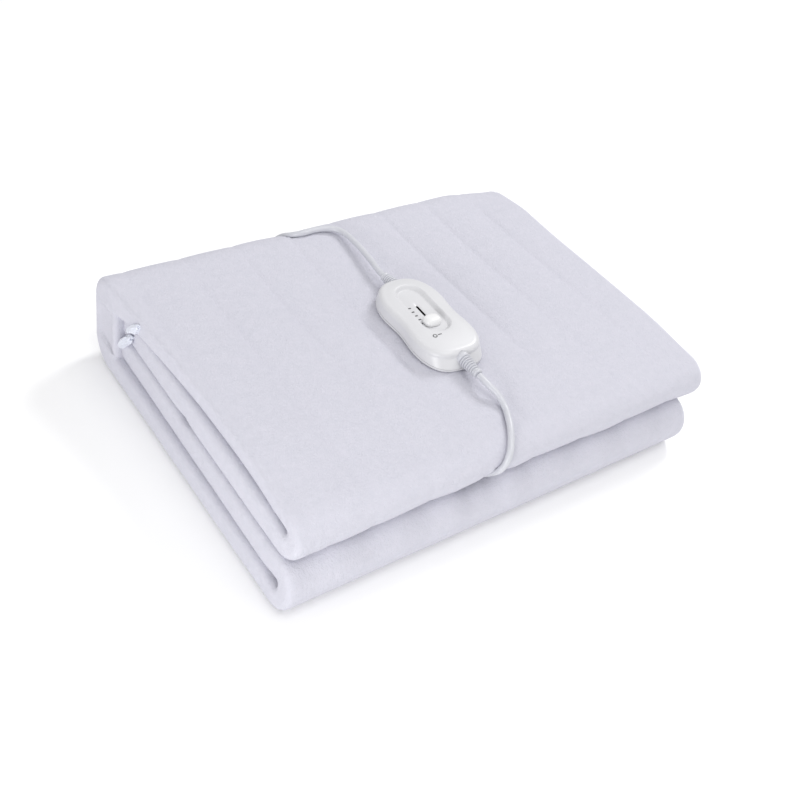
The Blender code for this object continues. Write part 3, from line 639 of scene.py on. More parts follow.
def near_back(y):
    """0 on the top and 1 at the back edge."""
    return smooth((y - BACK + BACK_FADE) / BACK_FADE_RUN)


def nest(x, y):
    """How far the fleece rises round the control."""
    across, along = x - CONTROL_AT.x, y - CONTROL_AT.y
    ahead = along * math.cos(CONTROL_YAW) - across * math.sin(CONTROL_YAW)
    aside = across * math.cos(CONTROL_YAW) + along * math.sin(CONTROL_YAW)
    reach = math.hypot(aside / (CONTROL_WIDTH / 2), ahead / (CONTROL_LENGTH / 2))
    outside = (reach - 1) * CONTROL_WIDTH / 2
    return NEST * math.exp(-((outside - NEST_OFF) / NEST_WIDTH) ** 2)


def settle(x, y, z):
    """Lets the tidy stack sink into its real, uneven shape. The lower half stays flat."""
    upper = smooth((z - LEVEL_3) / (STACK_TOP - LEVEL_3))
    trough = trough_at(x) * mix(1.0, TROUGH_AT_BACK, near_back(y))
    front = smooth((UPPER_FRONT + FRONT_SAG_RUN - y) / FRONT_SAG_RUN)
    corner_x = smooth((x - (EDGES["outer_top"]["back"][1] - CORNER_REACH)) / CORNER_REACH)
    corner_y = smooth((y - (BACK - CORNER_REACH)) / CORNER_REACH)
    drop = CHANNEL_DIP * trough + FRONT_SAG * front + CORNER_SAG * corner_x * corner_y
    drop -= BACK_LIFT * smooth((y - (BACK - BACK_LIFT_RUN)) / BACK_LIFT_RUN)
    from_lead = math.hypot(x - LEAD_DENT_AT[0], y - LEAD_DENT_AT[1])
    drop += LEAD_DENT * smooth(1 - from_lead / LEAD_DENT_REACH)
    drop -= nest(x, y) * smooth((z - LEVEL_4) / (DOUBLE / 2 - FLEECE / 2))
    from_crease = abs(z - (LEVEL_2 + LEVEL_3) / 2)
    at_front = smooth(y / UPPER_FRONT) * (1 - smooth(from_crease / WAVE_HEIGHT))
    wave = WAVE * at_front * math.sin(2 * math.pi * x / WAVE_LENGTH)
    point = Vector((x, y + wave, z - drop * upper))
    fold_middle = Vector((x, UPPER_FRONT + FOLD_RADIUS + DOUBLE / 2, (LEVEL_3 + LEVEL_4) / 2))
    curl = CURL_DENT * smooth(1 - (point - CURL_DENT_AT).length / CURL_DENT_REACH)
    return point + curl * (fold_middle - point).normalized()


print("the top settles to", round(settle(0.0, 0.0, STACK_TOP).z, 4))

# %% [markdown]
# ## The section of a double layer
#
# At each station the section runs from the right cut edge of the inside ply to the left, round the
# fold, and back along the outside ply. The fold is fuller than a half circle and the layer swells
# towards it, because that is where the bonded plies spring apart: neighbouring layers touch there
# and leave only creases. The columns of the outside ply stand close together at the weld lines.

# %% Columns across the blanket
SPREAD_FROM, SPREAD_TO = -0.1890, 0.1920
LINES = 7
MM_FROM_LINE = (-24.5, -17, -11, -7, -4.5, -3, -2, -1, 0, 1, 2, 3, 4.5, 7, 11, 17)
LEFT_COLUMNS = 20
RIGHT_COLUMNS = 4
INSIDE_COLUMNS = 34
EDGE_POWER = 10  # how fast the columns' drift towards the true edges fades inwards


def outside_columns():
    """Places across the outside ply, close together at the weld lines."""
    first_line = CHANNEL_X - 3 * CHANNEL_PITCH
    first = first_line - CHANNEL_PITCH / 2
    last = first + LINES * CHANNEL_PITCH
    columns = list(np.linspace(SPREAD_FROM, first, LEFT_COLUMNS)[:-1])
    for line in range(LINES):
        columns += [first_line + line * CHANNEL_PITCH + step / 1000 for step in MM_FROM_LINE]
    return columns + list(np.linspace(last, SPREAD_TO, RIGHT_COLUMNS))


OUTSIDE = outside_columns()
print(len(OUTSIDE), "columns across the outside ply")

# %% How the plies swell
SWELL_FULL = 0.012
SWELL_RUN = 0.035
SLACK_INSIDE = 0.15
SLACK_OUTSIDE = 0.12
FRONT_SWELL = 1.15
SCALLOP = 0.35  # the front folds swell less over the wires
LEAD_WINDOW_AT = -0.033  # the front folds don't swell where the blanket's lead lies between them
LEAD_WINDOW = 0.009
LEAD_WINDOW_RUN = 0.022
SIDE_DENT = 0.65
SIDE_DENT_AT = 0.009
SIDE_DENT_WIDTH = 0.008
SEAM_AT_FRONT = 0.4
SEAM_AT_BACK = 0.35
SEAM_FROM = 0.010
SEAM_RUN = 0.200
print("swelling fades out", round((SWELL_FULL + SWELL_RUN) * 1000), "mm in from the left folds")


# %% The two plies at a station
def swell_at(x, left):
    """How full a double layer is: 1 at its folded left end and 0 some way in."""
    return 1 - smooth((x - left - SWELL_FULL) / SWELL_RUN)


def inside_point(station, x):
    """The inside ply's place (y, z) at x."""
    slow = 0.5 + 0.5 * noise.noise(Vector((station["y"] * 22, station["z"] * 40, 3.0)))
    room = station["room_in"] * swell_at(x, station["left"]) * (1 - SLACK_INSIDE * slow)
    out = HALF + room
    y = station["y"] - out * math.sin(station["heading"])
    z = station["z"] + out * math.cos(station["heading"])
    second = puffed(station)
    if second is not None:
        share = 1 - smooth((x - PUFF_LEFT) / (-2 * PUFF_LEFT))
        blend = share * smooth((station["y"] - PUFF_FROM) / PUFF_FADE)
        y, z = mix(y, second[0], blend), mix(z, second[1], blend)
    return y, z


def outside_point(station, x):
    """The outside ply's place (y, z) at x, with its weld lines."""
    window = smooth((abs(x - LEAD_WINDOW_AT) - LEAD_WINDOW) / LEAD_WINDOW_RUN)
    slow = 0.5 + 0.5 * noise.noise(Vector((station["y"] * 25, x * 25, 9.0)))
    front = FRONT_SWELL * station["at_front"] * window * (1 - SCALLOP * trough_at(x))
    dent = 1 - SIDE_DENT * math.exp(-((station["y"] - SIDE_DENT_AT) / SIDE_DENT_WIDTH) ** 2)
    full = max(swell_at(x, station["left"]) * (1 - SLACK_OUTSIDE * slow) * dent, front)
    line = SEAM_DEPTH * math.exp(-(from_wire(x) / SEAM_HALF_WIDTH) ** 2)
    from_front = smooth((station["y"] - UPPER_FRONT - SEAM_FROM) / SEAM_RUN)
    line *= smooth((station["z"] - LEVEL_1) / (LEVEL_4 - LEVEL_1)) * (
        mix(SEAM_AT_FRONT, 1.0, from_front) * mix(1.0, SEAM_AT_BACK, near_back(station["y"])))
    out = HALF + station["room_out"] * full - line
    return (station["y"] + out * math.sin(station["heading"]),
            station["z"] - out * math.cos(station["heading"]))


print("the first station's outside ply lies at", outside_point(path[0], 0.0))

# %% The whole section
LIPS = (0.0, 0.0003, 0.0009, 0.0018, 0.0030)
END_REACH = 0.0042
END_STEPS = 20
END_POWER = 4.8
SPINE_DIMPLE = 0.0030


def section(station):
    """Points (x, y, z) and distances to a side's cut edge, round one station's double layer."""
    left, right = station["left"], station["right"]
    turn_x = left + FLEECE / 2 + END_REACH
    points, from_side = [], []
    across = np.linspace(right - LIPS[-1], turn_x, INSIDE_COLUMNS)[1:]
    for x in [right - lip for lip in LIPS] + list(across):
        points.append((x, *inside_point(station, x)))
        from_side.append(right - x)
    first, last = inside_point(station, turn_x), outside_point(station, turn_x)
    dimple = SPINE_DIMPLE if station["heading"] == math.pi / 2 else 0.0
    for step in range(1, END_STEPS):
        angle = math.pi * step / END_STEPS
        side = power(math.cos(angle), 2 / END_POWER)
        reach = END_REACH * math.sin(angle) ** (2 / END_POWER) - dimple * math.sin(angle) ** 4
        points.append((turn_x - reach, mix(last[0], first[0], (1 + side) / 2),
                       mix(last[1], first[1], (1 + side) / 2)))
        from_side.append(1.0)
    for column in OUTSIDE:
        at_left = min(max(column / SPREAD_FROM, 0.0), 1.0) ** EDGE_POWER
        at_right = min(max(column / SPREAD_TO, 0.0), 1.0) ** EDGE_POWER
        x = column + (turn_x - SPREAD_FROM) * at_left + (right - LIPS[-1] - SPREAD_TO) * at_right
        points.append((x, *outside_point(station, x)))
        from_side.append(right - x)
    for lip in reversed(LIPS[:-1]):
        points.append((right - lip, *outside_point(station, right - lip)))
        from_side.append(lip)
    return points, from_side


print(len(section(path[0])[0]), "columns")

# %% [markdown]
# ## One closed sheet
#
# The sheet's middle is a grid of points. Its two faces stand off that middle along the normal, by
# half the fleece's thickness, and come together in a round lip along the cut edges. A Solidify
# modifier would leave square edges, which brushed fleece never has.

# %% The sheet's middle
def blanket_grid():
    """The middle of the sheet as a grid of points, and each point's distance to a cut edge."""
    first, last = path[0], path[-1]
    start = [dict(first, y=first["y"] - lip) for lip in LIPS]
    end = [dict(last, y=last["y"] - lip) for lip in reversed(LIPS)]
    rows = start + path[1:-1] + end
    middle, from_side, walked = [], [], [0.0]
    for index, station in enumerate(rows):
        if index:
            before = rows[index - 1]
            walked.append(walked[-1] + math.hypot(station["y"] - before["y"],
                                                  station["z"] - before["z"]))
        points, sides = section(station)
        middle.append([settle(*point) for point in points])
        from_side.append(sides)
    walked = np.array(walked)
    from_end = np.minimum(walked, walked[-1] - walked)
    return np.array(middle), np.minimum(from_end[:, None], np.array(from_side))


def normals_of(middle):
    """Unit normals that point away from the room between the two plies."""
    normal = np.cross(np.gradient(middle, axis=0), np.gradient(middle, axis=1))
    normal /= np.linalg.norm(normal, axis=2, keepdims=True)
    on_top = np.unravel_index(np.argmax(middle[..., 2]), middle.shape[:2])
    return normal * math.copysign(1.0, normal[on_top][2])


grid, grid_edges = blanket_grid()
print("grid of", grid.shape[0], "by", grid.shape[1], "points")

# %% Grooves under the leads, and the pile
PRESS_GAP = 0.0001
PRESS_REACH = 0.001
PRESS_STEP = 0.0015
PILE = ((28.0, 0.00022), (120.0, 0.00003))  # waves per metre and height of each unevenness


def press(middle, normal, lead_points):
    """Presses the sheet in where a lead lies on it, so that the lead lies in a groove."""
    clear = LEAD / 2 + FLEECE / 2 + PRESS_GAP
    depth = np.zeros(middle.shape[:2])
    for point in lead_points:
        away = np.array(point) - middle
        height = (away * normal).sum(axis=2)
        aside = np.sqrt(np.maximum((away ** 2).sum(axis=2) - height ** 2, 0.0))
        needed = np.sqrt(np.maximum(clear ** 2 - aside ** 2, 0.0)) - height
        near = (aside < clear) & (np.abs(height) < clear + PRESS_REACH)
        depth = np.maximum(depth, np.where(near, needed, 0.0))
    return middle - normal * depth[..., None]


def unevenness(points):
    """Slow unevenness of the pile, in metres, at each point."""
    out = [sum(height * noise.noise(Vector(point) * waves) for waves, height in PILE)
           for point in points.reshape(-1, 3)]
    return np.array(out).reshape(points.shape[:2])


for route in (SUPPLY_ROUTE, BLANKET_ROUTE):
    grid = press(grid, normals_of(grid), smooth_route(route, PRESS_STEP))
print("grooves pressed")


# %% The two faces and their round lips
def make_blanket(middle, from_edge):
    """The closed sheet round its middle."""
    normal = normals_of(middle)
    reach = np.clip(1 - from_edge / (FLEECE / 2), 0, 1)
    half = FLEECE / 2 * np.sqrt(1 - reach ** 2)
    middle = middle + normal * unevenness(middle)[..., None]
    rows, columns = half.shape
    sides = [middle + normal * half[..., None], middle - normal * half[..., None]]
    vertices = np.concatenate([side.reshape(-1, 3) for side in sides])
    vertices[:, 2] = np.maximum(vertices[:, 2], 0.0)
    rim = np.zeros((rows, columns), bool)
    rim[0], rim[-1], rim[:, 0], rim[:, -1] = True, True, True, True
    upper = np.arange(rows * columns).reshape(rows, columns)
    lower = np.where(rim, upper, upper + rows * columns)
    faces = []
    for sheet_side, order in ((upper, (0, 1, 2, 3)), (lower, (3, 2, 1, 0))):
        corners = np.stack([sheet_side[:-1, :-1], sheet_side[1:, :-1], sheet_side[1:, 1:],
                            sheet_side[:-1, 1:]], axis=-1).reshape(-1, 4)
        faces.append(corners[:, order])
    mesh = bpy.data.meshes.new("fleece_blanket")
    mesh.from_pydata(vertices.tolist(), [], np.concatenate(faces).tolist())
    distance = mesh.attributes.new("from_edge", "FLOAT", "POINT")
    distance.data.foreach_set("value", np.tile(from_edge.ravel(), 2).astype(np.float32))
    bm = bmesh.new()
    bm.from_mesh(mesh)
    loose = [vert for vert in bm.verts if not vert.link_faces]
    bmesh.ops.delete(bm, geom=loose, context="VERTS")
    bmesh.ops.recalc_face_normals(bm, faces=bm.faces)
    bm.to_mesh(mesh)
    bm.free()
    mesh.shade_smooth()
    return add_piece("fleece_blanket", mesh, fleece)


blanket = make_blanket(grid, grid_edges)
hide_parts("blanket")
print(len(blanket.data.polygons), "faces in the blanket")

# %% [markdown]
# ## Pulled tufts
#
# At the left, where the cut ends of the inner layers meet the back fold, two tufts of loose fibre
# stick out and catch the light. Each is a short lumpy roll, because loose fibre mats into lumps.
# Their colour is painted lighter than the fleece's, a painted highlight for the light they catch.
# A particle system would draw single hairs, but at this distance they aren't visible.

# %% Loose fleece fibre, with a painted highlight
def loose_fleece():
    """The same fibre as the fleece, but loose and rougher, and painted lighter as a painted
    highlight.
    """
    material, tree, shader = start_material("loose_fibre_and_painted_highlight", {
        "Roughness": 0.95, "IOR": 1.46, "Specular IOR Level": 0.10, "Sheen Weight": 0.35,
        "Sheen Roughness": 0.50, "Subsurface Weight": 0.15,
        "Subsurface Radius": (0.002, 0.002, 0.002), "Subsurface Scale": 1.0})
    where = add_node(tree, "ShaderNodeTexCoord")
    fibre = add_node(tree, "ShaderNodeTexNoise", {"Scale": 700.0, "Detail": 4.0},
                     {"Vector": where.outputs["Object"]})
    tint = add_node(tree, "ShaderNodeValToRGB", links={"Fac": fibre.outputs["Fac"]})
    # painted highlight: both tints are lighter than the fleece's
    tint.color_ramp.elements[0].position = 0.3
    tint.color_ramp.elements[0].color = linear("#cdd0dc")
    tint.color_ramp.elements[1].position = 0.7
    tint.color_ramp.elements[1].color = linear("#dcdfea")
    bump = add_node(tree, "ShaderNodeBump", {"Strength": 0.5, "Distance": 0.0008},
                    {"Height": fibre.outputs["Fac"]})
    tree.links.new(tint.outputs["Color"], shader.inputs["Base Color"])
    tree.links.new(bump.outputs["Normal"], shader.inputs["Normal"])
    return material


loose = loose_fleece()
print("made", loose.name)

# %% Tufts
LUMPS = ((1.3, 0.30), (3.0, 0.10))  # waves over the roll's radius and their share of it


def tuft(name, start, end, radius):
    """A lumpy roll of fibre from start to end."""
    start, end = Vector(start), Vector(end)
    bm = bmesh.new()
    bmesh.ops.create_icosphere(bm, subdivisions=5, radius=1.0)
    turn = (end - start).to_track_quat("Z", "Y").to_matrix()
    long = (end - start).length / 2
    (wide, wide_share), (fine, fine_share) = LUMPS
    for vert in bm.verts:
        lump = (1 + wide_share * noise.noise(vert.co * wide + start * 90)
                + fine_share * noise.noise(vert.co * fine))
        shape = Vector((vert.co.x * radius, vert.co.y * radius, vert.co.z * long)) * lump
        vert.co = (start + end) / 2 + turn @ shape
    return add_piece(name, finish_mesh(bm, name), loose)


tuft("lower_tuft", (-0.1990, 0.1210, 0.0310), (-0.1985, 0.0965, 0.0580), 0.0040)
tuft("upper_tuft", (-0.1990, 0.1030, 0.0590), (-0.1985, 0.0820, 0.0790), 0.0036)
print("two tufts")

# %% [markdown]
# ## The control's plastic
#
# The control is ABS, injection moulded in a polished tool, so it is white and glossy. ABS has an
# IOR near 1.53. A little light goes into the plastic, and a very fine texture softens the
# reflections in places. Where the slider's slot opens, a black channel lines it: partly the
# switch's real channel, partly painted shade for the dark inside of the slot.

# %% White and black moulded ABS
def moulded_abs(name, color):
    """Glossy, with a fine texture that softens the reflections in places."""
    material, tree, shader = start_material(name, {
        "Base Color": linear(color), "IOR": 1.53, "Subsurface Weight": 0.05,
        "Subsurface Radius": (0.003, 0.003, 0.003), "Subsurface Scale": 0.4})
    where = add_node(tree, "ShaderNodeTexCoord")
    flow = add_node(tree, "ShaderNodeTexNoise", {"Scale": 90.0, "Detail": 2.0},
                    {"Vector": where.outputs["Object"]})
    shine = add_node(tree, "ShaderNodeMapRange", {"To Min": 0.30, "To Max": 0.38},
                     {"Value": flow.outputs["Fac"]})
    grain = add_node(tree, "ShaderNodeTexNoise", {"Scale": 1400.0, "Detail": 2.0},
                     {"Vector": where.outputs["Object"]})
    bump = add_node(tree, "ShaderNodeBump", {"Strength": 0.04, "Distance": 0.0001},
                    {"Height": grain.outputs["Fac"]})
    tree.links.new(shine.outputs["Result"], shader.inputs["Roughness"])
    tree.links.new(bump.outputs["Normal"], shader.inputs["Normal"])
    return material


abs_cover = moulded_abs("white_moulded_abs", "#d3d3d6")
abs_knob = moulded_abs("white_moulded_abs_knob", "#e4e4e5")
# black for the switch's channel, and painted shade inside the slot
abs_channel_and_slot_shade = moulded_abs("black_abs_and_painted_slot_shade", "#1c1614")
print("made", abs_cover.name, abs_knob.name, abs_channel_and_slot_shade.name)

# %% [markdown]
# ## The control
#
# The housing is a waisted oval of two shells, with a sunk track for the slider in its top. It could
# be cut with booleans, but their edges stay hard. Here one loft runs from the parting line up the
# wall, over the shoulder, across the top, over the rounded lip of the track, down to its floor
# and into the slot, so every edge is rounded as on a moulding. Its waist is a little deeper and its
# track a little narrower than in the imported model, as the photograph shows them.

# %% Sizes of the control
CONTROL_HEIGHT = 0.0158
CONTROL_PARTING = 0.0030
FRONT_POWER = 3.2
BACK_POWER = 2.7
WAIST = 0.115
WAIST_LENGTH = 0.0195
SIDE_DRAFT = 0.0004
FRONT_DRAFT = 0.0060
BACK_DRAFT = 0.0012
SHOULDER = 0.0050
CROWN = 0.0010
FOOT_ROUND = 0.0018
GAP = 0.0003
RECESS_LENGTH = 0.0615
RECESS_WIDTH = 0.0252
RECESS_FLOOR_WIDTH = 0.0198
RECESS_DEPTH = 0.0032
RECESS_AT = Vector((-0.0002, 0.0092, 0.0))
RECESS_LIP = 0.0009
SLOT_WIDTH = 0.0020
SLIDE_TRAVEL = 0.0204
SLOT_LENGTH = SLIDE_TRAVEL + 0.0040
KNOB_AT = Vector((-0.0016, -0.0066, 0.0))
KNOB_LENGTH = 0.0120
KNOB_WIDTH = 0.0152
KNOB_HEIGHT = 0.0054
KNOB_SQUARENESS = 0.75
DOME_STEPS = 14
KNOB_FOOT = 0.0006
KNOB_FOOT_SHARE = 0.985
KNOB_FLAT = 0.10  # share of the outline where the dome is level
DOME_POWER = 0.55
STEM_SIZE = (0.0030, 0.0012)
STEM_DEPTH = 0.0032
FLOOR_HEIGHT = CONTROL_HEIGHT - RECESS_DEPTH
ROUND_POINTS = 160
OUTLINE_STEPS = 720
SHARP_FROM = math.radians(50)


def on_control(offset=(0, 0, 0), tilt=0.0, turn=0.0):
    """A place on the control, tilted and then turned about the vertical."""
    place = CONTROL_AT + Euler((0, 0, CONTROL_YAW)).to_matrix() @ Vector(offset)
    return (Matrix.Translation(place)
            @ Euler((tilt, 0, CONTROL_YAW + turn)).to_matrix().to_4x4())


print("control", CONTROL_LENGTH, "by", CONTROL_WIDTH)


# %% Outlines with evenly spread points
def spread(points):
    """ROUND_POINTS points, evenly spread round a closed outline."""
    loop = np.array(points + points[:1])
    lengths = np.linalg.norm(np.diff(loop, axis=0), axis=1)
    walked = np.concatenate([[0], np.cumsum(lengths)])
    at = np.arange(ROUND_POINTS) / ROUND_POINTS * walked[-1]
    return np.stack([np.interp(at, walked, loop[:, 0]), np.interp(at, walked, loop[:, 1])], axis=1)


def control_outline(side=0.0, front=0.0, back=0.0):
    """The waisted outline of the housing, drawn in at its sides and ends."""
    points = []
    for step in range(OUTLINE_STEPS):
        angle = 2 * math.pi * step / OUTLINE_STEPS
        at_back = math.sin(angle) > 0
        exponent = 2 / (BACK_POWER if at_back else FRONT_POWER)
        across = power(math.cos(angle), exponent)
        along = power(math.sin(angle), exponent)
        y = (CONTROL_LENGTH / 2 - (back if at_back else front)) * along
        narrow = 1 - WAIST * math.exp(-(y / WAIST_LENGTH) ** 2)
        points.append(((CONTROL_WIDTH / 2 * narrow - side) * across, y))
    return spread(points)


def stadium(length, width, at):
    """A slot outline with round ends, long along Y."""
    radius = width / 2
    points = []
    for step in range(OUTLINE_STEPS):
        angle = 2 * math.pi * step / OUTLINE_STEPS
        end = math.copysign(length / 2 - radius, math.sin(angle))
        if abs(math.sin(angle)) < TINY:
            end = 0.0
        points.append((radius * math.cos(angle) + at.x, end + radius * math.sin(angle) + at.y))
    return spread(points)


print("outlines of", len(control_outline()), "points")


# %% A skin through outlines
def loft(name, rings, cap_first=True, cap_last=True):
    """A skin through rings, each an outline with the height of its points."""
    bm = bmesh.new()
    rows = [[bm.verts.new((x, y, height)) for x, y in outline] for outline, height in rings]
    for lower, upper in zip(rows, rows[1:]):
        for index in range(ROUND_POINTS):
            after = (index + 1) % ROUND_POINTS
            bm.faces.new((lower[index], lower[after], upper[after], upper[index]))
    if cap_first:
        bm.faces.new(rows[0])
    if cap_last:
        bm.faces.new(rows[-1])
    bmesh.ops.recalc_face_normals(bm, faces=bm.faces)
    mesh = finish_mesh(bm, name)
    mesh.set_sharp_from_angle(angle=SHARP_FROM)
    return mesh


print("edges are sharp from", round(math.degrees(SHARP_FROM)), "degrees")


# %% Outlines of the housing, its track and its slot
SLOT_AT = KNOB_AT + Vector((0, SLIDE_TRAVEL / 2, 0))


def inset_outline(inset):
    """The housing's outline, drawn in evenly."""
    return control_outline(inset, inset, inset)


def track_outline(grow):
    """The sunk track's outline, drawn out evenly."""
    return stadium(RECESS_LENGTH + 2 * grow, RECESS_WIDTH + 2 * grow, RECESS_AT)


def slot_outline(grow=0.0):
    """The slot's outline, drawn out evenly."""
    return stadium(SLOT_LENGTH + 2 * grow, SLOT_WIDTH + 2 * grow, SLOT_AT)


print("slot", round(SLOT_LENGTH * 1000, 1), "mm long")

# %% The cover
PARTING_LAND = 0.0010  # how far the level edges at the parting line reach in
EDGE_BREAK = 0.0001  # a moulded edge is never quite sharp
SLOT_BREAK = 0.0002
SLOT_DEPTH = 0.0045
WALL_SHARES = (0.15, 0.4, 0.7, 0.9)
SHOULDER_STEPS = 12
CROWN_STEPS = 7
LIP_STEPS = 20
FLOOR_SHARES = (0.25, 0.5, 0.75, 1.0)


def cover_rings():
    """From the parting line over the shoulder and the lip down into the slot."""
    rings = [(inset_outline(PARTING_LAND), CONTROL_PARTING + GAP / 2),
             (inset_outline(EDGE_BREAK), CONTROL_PARTING + GAP / 2),
             (control_outline(), CONTROL_PARTING + GAP)]
    shoulder = CONTROL_HEIGHT - CROWN - SHOULDER
    for share in WALL_SHARES:
        rings.append((control_outline(SIDE_DRAFT * share, FRONT_DRAFT * share, BACK_DRAFT * share),
                      mix(CONTROL_PARTING + GAP, shoulder, share)))
    for step in range(SHOULDER_STEPS + 1):
        angle = math.pi / 2 * step / SHOULDER_STEPS
        inset = SHOULDER * (1 - math.cos(angle))
        rings.append((control_outline(SIDE_DRAFT + inset, FRONT_DRAFT + inset, BACK_DRAFT + inset),
                      shoulder + SHOULDER * math.sin(angle)))
    rim = rings[-1][0]
    for step in range(1, CROWN_STEPS):
        share = step / CROWN_STEPS
        rings.append((mix(rim, track_outline(RECESS_LIP), share),
                      CONTROL_HEIGHT - CROWN * (1 - math.sin(share * math.pi / 2))))
    for step in range(LIP_STEPS + 1):
        share = step / LIP_STEPS
        grow = mix(RECESS_LIP, (RECESS_FLOOR_WIDTH - RECESS_WIDTH) / 2, share)
        rings.append((track_outline(grow), CONTROL_HEIGHT - RECESS_DEPTH * smooth(share)))
    foot = rings[-1][0]
    for share in FLOOR_SHARES:
        rings.append((mix(foot, slot_outline(SLOT_BREAK), share), FLOOR_HEIGHT))
    rings += [(slot_outline(), FLOOR_HEIGHT - SLOT_BREAK),
              (slot_outline(), FLOOR_HEIGHT - SLOT_DEPTH)]
    return rings


cover = add_piece("cover_shell", loft("cover_shell", cover_rings()), abs_cover, on_control())
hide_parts("control_cover")
print("cover", len(cover.data.polygons), "faces")

# %% The base, and the switch's channel under the slot, partly painted shade
FOOT_STEPS = 6
CHANNEL_PLAY = 0.00005
CHANNEL_WALL = 0.0002
CHANNEL_FOOT = 0.0040
CHANNEL_FLOOR = 0.0036

base_rings = []
for step in range(FOOT_STEPS + 1):
    angle = math.pi / 2 * step / FOOT_STEPS
    inset = FOOT_ROUND * (1 - math.sin(angle))
    base_rings.append((inset_outline(inset), FOOT_ROUND * (1 - math.cos(angle))))
base_rings += [(control_outline(), CONTROL_PARTING - GAP),
               (inset_outline(EDGE_BREAK), CONTROL_PARTING - GAP / 2),
               (inset_outline(PARTING_LAND), CONTROL_PARTING - GAP / 2)]
base = add_piece("base_shell", loft("base_shell", base_rings), abs_cover, on_control())
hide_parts("control_base")
# The black channel lines the slot's walls and floor: the switch's channel, and painted shade for the
# dark slot.
channel_rings = [(slot_outline(-CHANNEL_PLAY), FLOOR_HEIGHT - CHANNEL_FOOT),
                 (slot_outline(-CHANNEL_PLAY), FLOOR_HEIGHT - SLOT_BREAK),
                 (slot_outline(-CHANNEL_WALL), FLOOR_HEIGHT - SLOT_BREAK),
                 (slot_outline(-CHANNEL_WALL), FLOOR_HEIGHT - CHANNEL_FLOOR)]
channel_mesh = loft("switch_channel_and_painted_shade", channel_rings)
add_piece("switch_channel_and_painted_shade", channel_mesh, abs_channel_and_slot_shade, on_control())
print("base", len(base.data.polygons), "faces, channel", len(channel_mesh.polygons))

# %% [markdown]
# ## The slider knob
#
# The knob is a small smooth dome that a thumb pushes along the track. It rides on its own body, so
# that it moves with the joint, and below the floor it has the stem that passes through the slot.

# %% Knob
def knob_rings():
    """A full oval that closes in a dome."""
    rings = []
    for step in range(DOME_STEPS + 1):
        angle = math.pi / 2 * step / DOME_STEPS
        wide = mix(KNOB_FLAT, 1.0, math.cos(angle) ** DOME_POWER)
        if step == DOME_STEPS:
            wide = KNOB_FLAT / 2
        outline = []
        for turn in range(OUTLINE_STEPS):
            place = 2 * math.pi * turn / OUTLINE_STEPS
            outline.append((KNOB_WIDTH / 2 * wide * power(math.cos(place), KNOB_SQUARENESS),
                            KNOB_LENGTH / 2 * wide * power(math.sin(place), KNOB_SQUARENESS)))
        rings.append((spread(outline), KNOB_FOOT + (KNOB_HEIGHT - KNOB_FOOT) * math.sin(angle)))
    return [(rings[0][0] * KNOB_FOOT_SHARE, 0.0)] + rings


knob_place = on_control(KNOB_AT + Vector((0, 0, FLOOR_HEIGHT + GAP)))
knob = add_piece("knob_dome", loft("knob_dome", knob_rings()), abs_knob, knob_place, KNOB_BODY)
stem_outline = stadium(*STEM_SIZE, Vector((0, 0, 0)))
stem_rings = [(stem_outline, -STEM_DEPTH), (stem_outline, KNOB_FOOT)]
add_piece("knob_stem", loft("knob_stem", stem_rings), abs_knob, knob_place, KNOB_BODY)
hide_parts("slider_knob")
print("knob", len(knob.data.polygons), "faces")

# %% [markdown]
# ## Printed marks
#
# Five short bars beside the slot give the heat steps, and a ring with a dash shows the setting that
# is warm enough to sleep on. They are pad printed in dark grey ink. They are drawn as very thin
# flat shapes just above the plastic, because a printed film is only some hundredths of a
# millimetre thick.

# %% Dark grey pad ink
def grey_ink():
    """Matt ink that lies a little thinner in places."""
    material, tree, shader = start_material("dark_grey_pad_ink", {"Roughness": 0.5, "IOR": 1.5})
    where = add_node(tree, "ShaderNodeTexCoord")
    wear = add_node(tree, "ShaderNodeTexNoise", {"Scale": 1800.0, "Detail": 2.0},
                    {"Vector": where.outputs["Object"]})
    tint = add_node(tree, "ShaderNodeValToRGB", links={"Fac": wear.outputs["Fac"]})
    tint.color_ramp.elements[0].color = linear("#2e2e30")
    tint.color_ramp.elements[1].color = linear("#4c4c50")
    tree.links.new(tint.outputs["Color"], shader.inputs["Base Color"])
    return material


ink = grey_ink()
print("made", ink.name)

# %% Flat shapes
FILM = 0.00006
RING_STEPS = 32


def flat_mark(name, strips):
    """Thin flat shapes over the control's foot, each a strip between two rows of points."""
    bm = bmesh.new()
    for first_row, second_row in strips:
        first = [bm.verts.new(point) for point in first_row]
        second = [bm.verts.new(point) for point in second_row]
        for index in range(len(first) - 1):
            bm.faces.new((first[index], first[index + 1], second[index + 1], second[index]))
    for face in bm.faces:
        face.normal_update()
        if face.normal.z < 0:
            face.normal_flip()
    return add_piece(name, finish_mesh(bm, name), ink, on_control())


def bar(x, y, width, length, height):
    """A bar as a strip."""
    return ([(x - width / 2, y - length / 2, height), (x + width / 2, y - length / 2, height)],
            [(x - width / 2, y + length / 2, height), (x + width / 2, y + length / 2, height)])


def ring(x, y, radius, line, height):
    """A ring as a closed strip."""
    rows = []
    for reach in (radius - line / 2, radius + line / 2):
        rows.append([(x + reach * math.cos(2 * math.pi * step / RING_STEPS),
                      y + reach * math.sin(2 * math.pi * step / RING_STEPS), height)
                     for step in range(RING_STEPS + 1)])
    return tuple(rows)


print("ink film", FILM * 1000, "mm thick")

# %% Scale marks, ring and dash
HEAT_STEPS = 5
MARK_AT = (-0.0087, -0.0055)
MARK_SIZE = (0.0024, 0.0013)
RING_AT = (-0.0114, -0.0255)
RING_RADIUS = 0.0016
RING_LINE = 0.0006
DASH_AT = (-0.0068, -0.0252)
DASH_SIZE = (0.0036, 0.0008)

